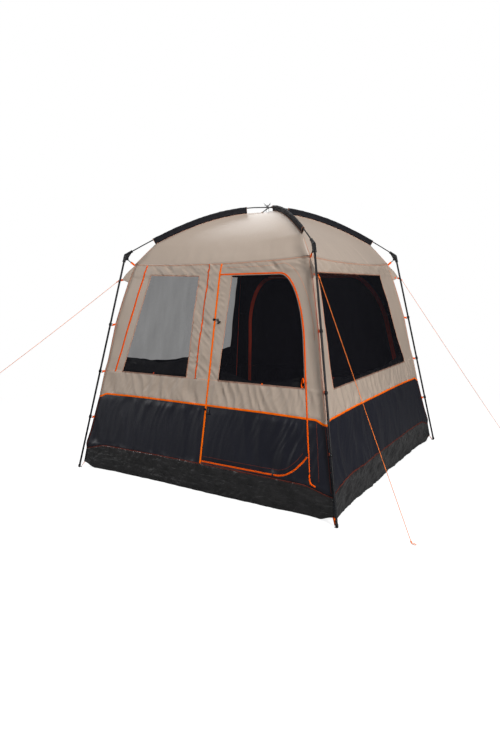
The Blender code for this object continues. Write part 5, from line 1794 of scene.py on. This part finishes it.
def elbow_collars(corner):
    """A raised rim at the mouth of each of an elbow's sockets."""
    store = Store()
    for depth, way, radius in (
        (LEG_SOCKET, LEG_UP, LEG_SOCKET_RADIUS),
        (ROD_SOCKET, MOUTH_ALONG, ROD_SOCKET_RADIUS),
    ):
        normal = corner_point(corner, way.y, -way.x)
        rows = []
        for along, more in ((0.0002, 0.0), (0.0006, 0.0014), (0.0060, 0.0014), (0.0068, 0.0)):
            middle = corner_point(corner, *(BEND - way * (depth - along)))
            rows.append(circle(middle, normal, across_way(corner), radius + more, 28))
        store.grid(rows, wrap=True)
    store.made(f"elbow_collars_{corner}", PLASTIC)


def add_corners():
    for corner in CORNERS:
        clips, webs = Store(), Store()
        for z in CLIP_HEIGHTS:
            clip(clips, corner, z)
            clip_tab(webs, corner, z)
        route = spline(hook_route(corner), 3)
        sizes = [0.0024 + 0.0014 * step(0.30, 0.50, t) for t in shares(len(route) - 1)]
        hook_strap(webs, corner)
        foot_strap(webs, corner)
        guy_strap(webs, corner)
        clips.made(f"clips_{corner}", PLASTIC)
        webs.made(f"webbing_{corner}", ORANGE_WEB, f"corner_webbing_{corner}")
        tube(Store(), route, sizes).made(f"hook_{corner}", PLASTIC, slot="bright_steel")
        elbow_web(corner)
        gusset(corner)
        foot_cap(corner)
        elbow_collars(corner)


# Zip sliders, toggles and ties


def slider(name, side, start, end, away):
    """A zip slider: wedge body, bridge and a pull with its cord, lying along the zip."""
    line = (Vector(end) - Vector(start)).normalized()
    left = Vector((-line.y, line.x)) * away
    base = 0.0028

    def at(a, s, out):
        p = Vector(start) + line * a + left * s
        return skin(side, p.x, p.y, base + out)

    wedge = ((-0.0070, 0.0030), (-0.0060, 0.0040), (0.0, 0.0046), (0.0050, 0.0058), (0.0070, 0.0050))
    turns = [math.tau * k / 12 for k in range(12)]
    rows = []
    for a, w in wedge:
        rows.append([at(a, w * math.cos(t), 0.0016 + 0.0016 * math.sin(t)) for t in turns])
    store = Store()
    store.pipe(rows)
    bridge = [at(-0.005 + 0.010 * t, 0, 0.0026 + 0.0026 * math.sin(math.pi * t)) for t in shares(8)]
    tube(store, bridge, 0.0009, 8)
    store.made(name, PLASTIC, name, name)
    loop = []
    for k in range(20):
        across, along = math.sin(math.tau * k / 20), math.cos(math.tau * k / 20)
        wide = 0.0021 * across * (1 + 0.3 * along)
        loop.append(at(-0.013 - 0.0125 * along, wide, 0.0016 + 0.0010 * along))
    tube(Store(), loop, 0.0011, 8, closed=True).made(f"{name}_pull", ORANGE_WEB, body=name)


TOGGLE_CORD, TOGGLE_CORD_ASIDE = 0.0029, 0.0030
TOGGLE_HANG, TOGGLE_BAR_HALF = 0.0275, 0.0180


def toggle(which, z, tilt):
    """A toggle by the hinge seam: a folded loop of cord and a tapered crossbar."""
    hang = Vector((math.sin(tilt), -math.cos(tilt)))
    cross = Vector((hang.y, -hang.x))
    body = f"door_toggle_{which}"

    def at(along, side, out):
        p = Vector((TOGGLE_U, z)) + hang * along + cross * side
        return skin(FRONT, p.x, p.y, out)

    store = Store()
    for side in (-TOGGLE_CORD_ASIDE, TOGGLE_CORD_ASIDE):
        path = []
        for t in shares(8):
            bulge = math.sin(math.pi * t)
            path.append(at((TOGGLE_HANG - 0.0015) * t, side * (1 + 0.5 * bulge), 0.0030 + 0.002 * bulge))
        tube(store, path, TOGGLE_CORD, 8)
    flat = (at(0, 0.005, 0.0012) - at(0, -0.005, 0.0012)).normalized()
    strap(store, [at(-0.009, 0, 0.0012), at(0.006, 0, 0.0014)], 0.0075, 0.0016, flat)
    store.made(f"toggle_loop_{which}", BLACK_CORD, body=body)
    places = [-1 + 2 * k / 12 for k in range(13)]
    sizes = [0.0020 + 0.0036 * math.sqrt(1 - a * a) ** 0.8 for a in places]
    bar = tube(Store(), [at(TOGGLE_HANG, TOGGLE_BAR_HALF * a, 0.0056) for a in places], sizes, 12)
    bar.made(f"toggle_bar_{which}", PLASTIC, body, body)
    root = DOOR_EDGE + 0.001
    span = [skin(FRONT, root + 0.019 * t, z - 0.003 * t, 0.0032) for t in shares(5)]
    tether = tube(Store(), span, 0.0030, 8)
    tether.made(f"toggle_tether_{which}", BLACK_CORD, body="front_door")


def strap_loop(store, side, centre, wide, high, outs, half, flat):
    """A standing loop of webbing by a window's sill: outs is its distance from the wall."""
    path = []
    for k in range(15):
        x, y = math.cos(math.tau * k / 16), math.sin(math.tau * k / 16)
        path.append(skin(side, centre[0] + wide * x, centre[1] + high * y, outs[0] + outs[1] * x))
    return strap(store, path, half, 0.0014, flat)


def add_small_parts():
    wide = Vector((1, 0, 0))
    low = door_side(DOOR_SIDE_FOOT[1] + 0.026)
    slider("front_side_slider", FRONT, low, DOOR_ARC_END, -1)
    slider("front_foot_slider", FRONT, (0.706, DOOR_BOTTOM), (DOOR_EDGE, DOOR_BOTTOM), 1)
    slider("back_slider", BACK, (-BACK_TOP_HALF, BACK_TOP), BACK_ARC_END, 1)
    toggle("upper", TOGGLE_HEIGHTS[0], math.radians(35))
    toggle("lower", TOGGLE_HEIGHTS[1], 0.0)
    p = skin(FRONT, -0.488, SILL_Z + 0.002, 0.001)
    q = skin(FRONT, -0.484, SILL_Z + 0.016, 0.0015)
    tie = [p, p.lerp(q, 0.5) + Vector((0, -0.001, 0)), q]
    strap(Store(), tie, 0.004, 0.0012, wide).made("front_flap_tie", RED_TAPE)
    store = Store()
    for z in TOGGLE_HEIGHTS:
        tape = [skin(FRONT, u, z, 0.0040) for u in (0.0790, 0.0720, 0.0640, 0.0570)]
        strap(store, tape, 0.0085, 0.0018, UP)
    store.made("toggle_anchors", BLACK_TAPE)
    store = Store()
    for u in (0.545, 0.547):
        ends = ((u, -0.004, 0.0012), (u + 0.001, 0.008, 0.0016))
        strap(store, [skin(FRONT, x, SILL_Z + z, out) for x, z, out in ends], 0.0045, 0.0012, wide)
    centre, stand = (0.866, SILL_Z + 0.035), (0.0045, 0.004)
    strap_loop(store, FRONT, centre, 0.009, 0.033, stand, 0.009, Vector((0, 1, 0)))
    store.made("door_strap_loop", ORANGE_WEB, body="front_door")
    centre = (-0.812, SIDE_SILL + 0.045)
    loop = strap_loop(Store(), RIGHT, centre, 0.010, 0.030, (-0.012, 0), 0.006, wide)
    loop.made("right_strap_loop", RED_TAPE)


TIE_RADIUS = 0.0015
TIE_HALF, TIE_ARCH = 0.013, 0.004


def add_crown_tie():
    """The cord round both rods at the crown, tied in a bow with two short ends."""
    low = ridge(0)[1] + GAP
    high = CROWN_Z + 2 * ROD_RADIUS + 2 * GAP
    arch = [Vector((TIE_HALF, 0, low))]
    for t in shares(12):
        a = math.pi * t
        arch.append(Vector((TIE_HALF * math.cos(a), 0, high + TIE_ARCH * math.sin(a))))
    arch.append(Vector((-TIE_HALF, 0, low)))
    tie = tube(Store(), arch, TIE_RADIUS).made("crown_tie_cord", BLACK_CORD, "crown_tie")
    top = high + TIE_ARCH + TIE_RADIUS
    knot = Store()
    wrapped_knot(knot, Vector((-0.006, 0, top)), Vector((1, 0, 0)), 0.0036, 4, 0.003)
    for sign in (-1, 1):
        loop = []
        for a in shares(4):
            x, y = sign * (0.004 + 0.024 * a), 0.010 * math.sin(math.tau * a)
            loop.append(Vector((x, y, top + 0.012 * a * a)))
        back = [Vector((p.x * 0.9, -p.y - 0.002, p.z + 0.004)) for p in reversed(loop)]
        tube(knot, spline(loop + back, 6), TIE_RADIUS, 8)
    knot_piece = knot.made("crown_tie_knot", BLACK_CORD)
    tie_end("left", 0.002, top, ((-0.003, 0), (-0.018, 0.008), (-0.030, 0.020), (-0.040, 0.028)))
    tie_end("right", -0.002, top, ((0.003, 0), (0.016, 0.007), (0.024, 0.017), (0.030, 0.026)))


def tie_end(name, y, top, route):
    """A short end of the crown's tie, standing up from the knot."""
    path = spline([Vector((x, y, top + z)) for x, z in route], 8)
    tube(Store(), path, TIE_RADIUS).made(f"crown_tie_end_{name}", BLACK_CORD)


def finish_nodes():
    """Materials of the CAD nodes that stay: legs, elbows, rods and ring pins."""
    chosen = {"leg_": POLE, "roof_rod": ROD, "ring_pin": STEEL, "elbow": PLASTIC}
    for name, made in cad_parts.items():
        for start, material in chosen.items():
            if name.startswith(start):
                made.data.materials.clear()
                made.data.materials.append(material)


# Studio


def add_lamp(name, place, aim, size, power):
    data = bpy.data.lights.new(name, "AREA")
    data.shape = "DISK"
    data.size = size
    data.energy = power
    lamp = link(bpy.data.objects.new(name, data))
    turn = (Vector(aim) - Vector(place)).to_track_quat("-Z", "Y").to_matrix().to_4x4()
    lamp.matrix_world = Matrix.Translation(place) @ turn


def add_world():
    """White for the camera, and a dim, slightly blue light for the tent."""
    scene = bpy.context.scene
    scene.view_settings.view_transform = "Standard"
    scene.world = bpy.data.worlds.new("studio")
    scene.world.use_nodes = True
    nodes = Nodes(scene.world.node_tree)
    nodes.tree.nodes.clear()
    lit = nodes.node("Background", Color=(0.97, 0.985, 1.0, 1), Strength=0.22)
    white = nodes.node("Background", Color=grey(1), Strength=1.0)
    nodes.node("OutputWorld", {"Surface": nodes.mix(nodes.seen(), lit, white).outputs[0]})


def floor_material():
    """A white floor that holds soft shadows and fades into the white behind it."""
    m = Shade(
        "studio_floor",
        Base_Color=grey(0.30),
        Roughness=0.9,
        Specular_IOR_Level=0.1,
        Emission_Color=grey(1),
        Emission_Strength=0.86,
    )
    far = m.node("VectorMath", {0: m.place(uv=False)}, operation="LENGTH")
    fade = m.node(
        "MapRange",
        {"Value": far.outputs["Value"]},
        interpolation_type="SMOOTHSTEP",
        From_Min=2.4,
        From_Max=4.6,
    )
    glow = m.node("Emission", Color=grey(1), Strength=1.0)
    dull = m.node("BsdfDiffuse", Color=grey(0.30))
    m.show(m.mix(m.seen(), dull, m.mix(fade.outputs[0], m.shader, glow)))
    return m.material


def studio():
    add_world()
    add_lamp("key", (-5.4, -4.3, 3.3), (0, 0, 0.9), 1.3, 165)
    add_lamp("fill", (6.4, -3.9, 3.0), (0.2, 0, 0.8), 1.4, 410)
    add_lamp("top", (0.9, -0.5, 5.4), (0.2, -0.3, 1.9), 1.6, 95)
    add_lamp("back", (-4.2, 4.2, 5.4), (0.2, -0.4, 1.9), 5.4, 185)
    mesh = bpy.data.meshes.new("floor")
    mesh.from_pydata([(-60, -60, 0), (60, -60, 0), (60, 60, 0), (-60, 60, 0)], [], [(0, 1, 2, 3)])
    floor = link(bpy.data.objects.new("floor", mesh))
    floor.location.z = -0.0005
    mesh.materials.append(floor_material())


add_guylines()
add_walls()
add_doors()
add_tub()
add_roof()
add_sleeves()
add_band()
add_zips()
add_bindings()
add_seam_threads()
add_corner_seams()
add_stitching()
add_flaps()
add_corners()
add_small_parts()
add_crown_tie()
finish_nodes()
studio()
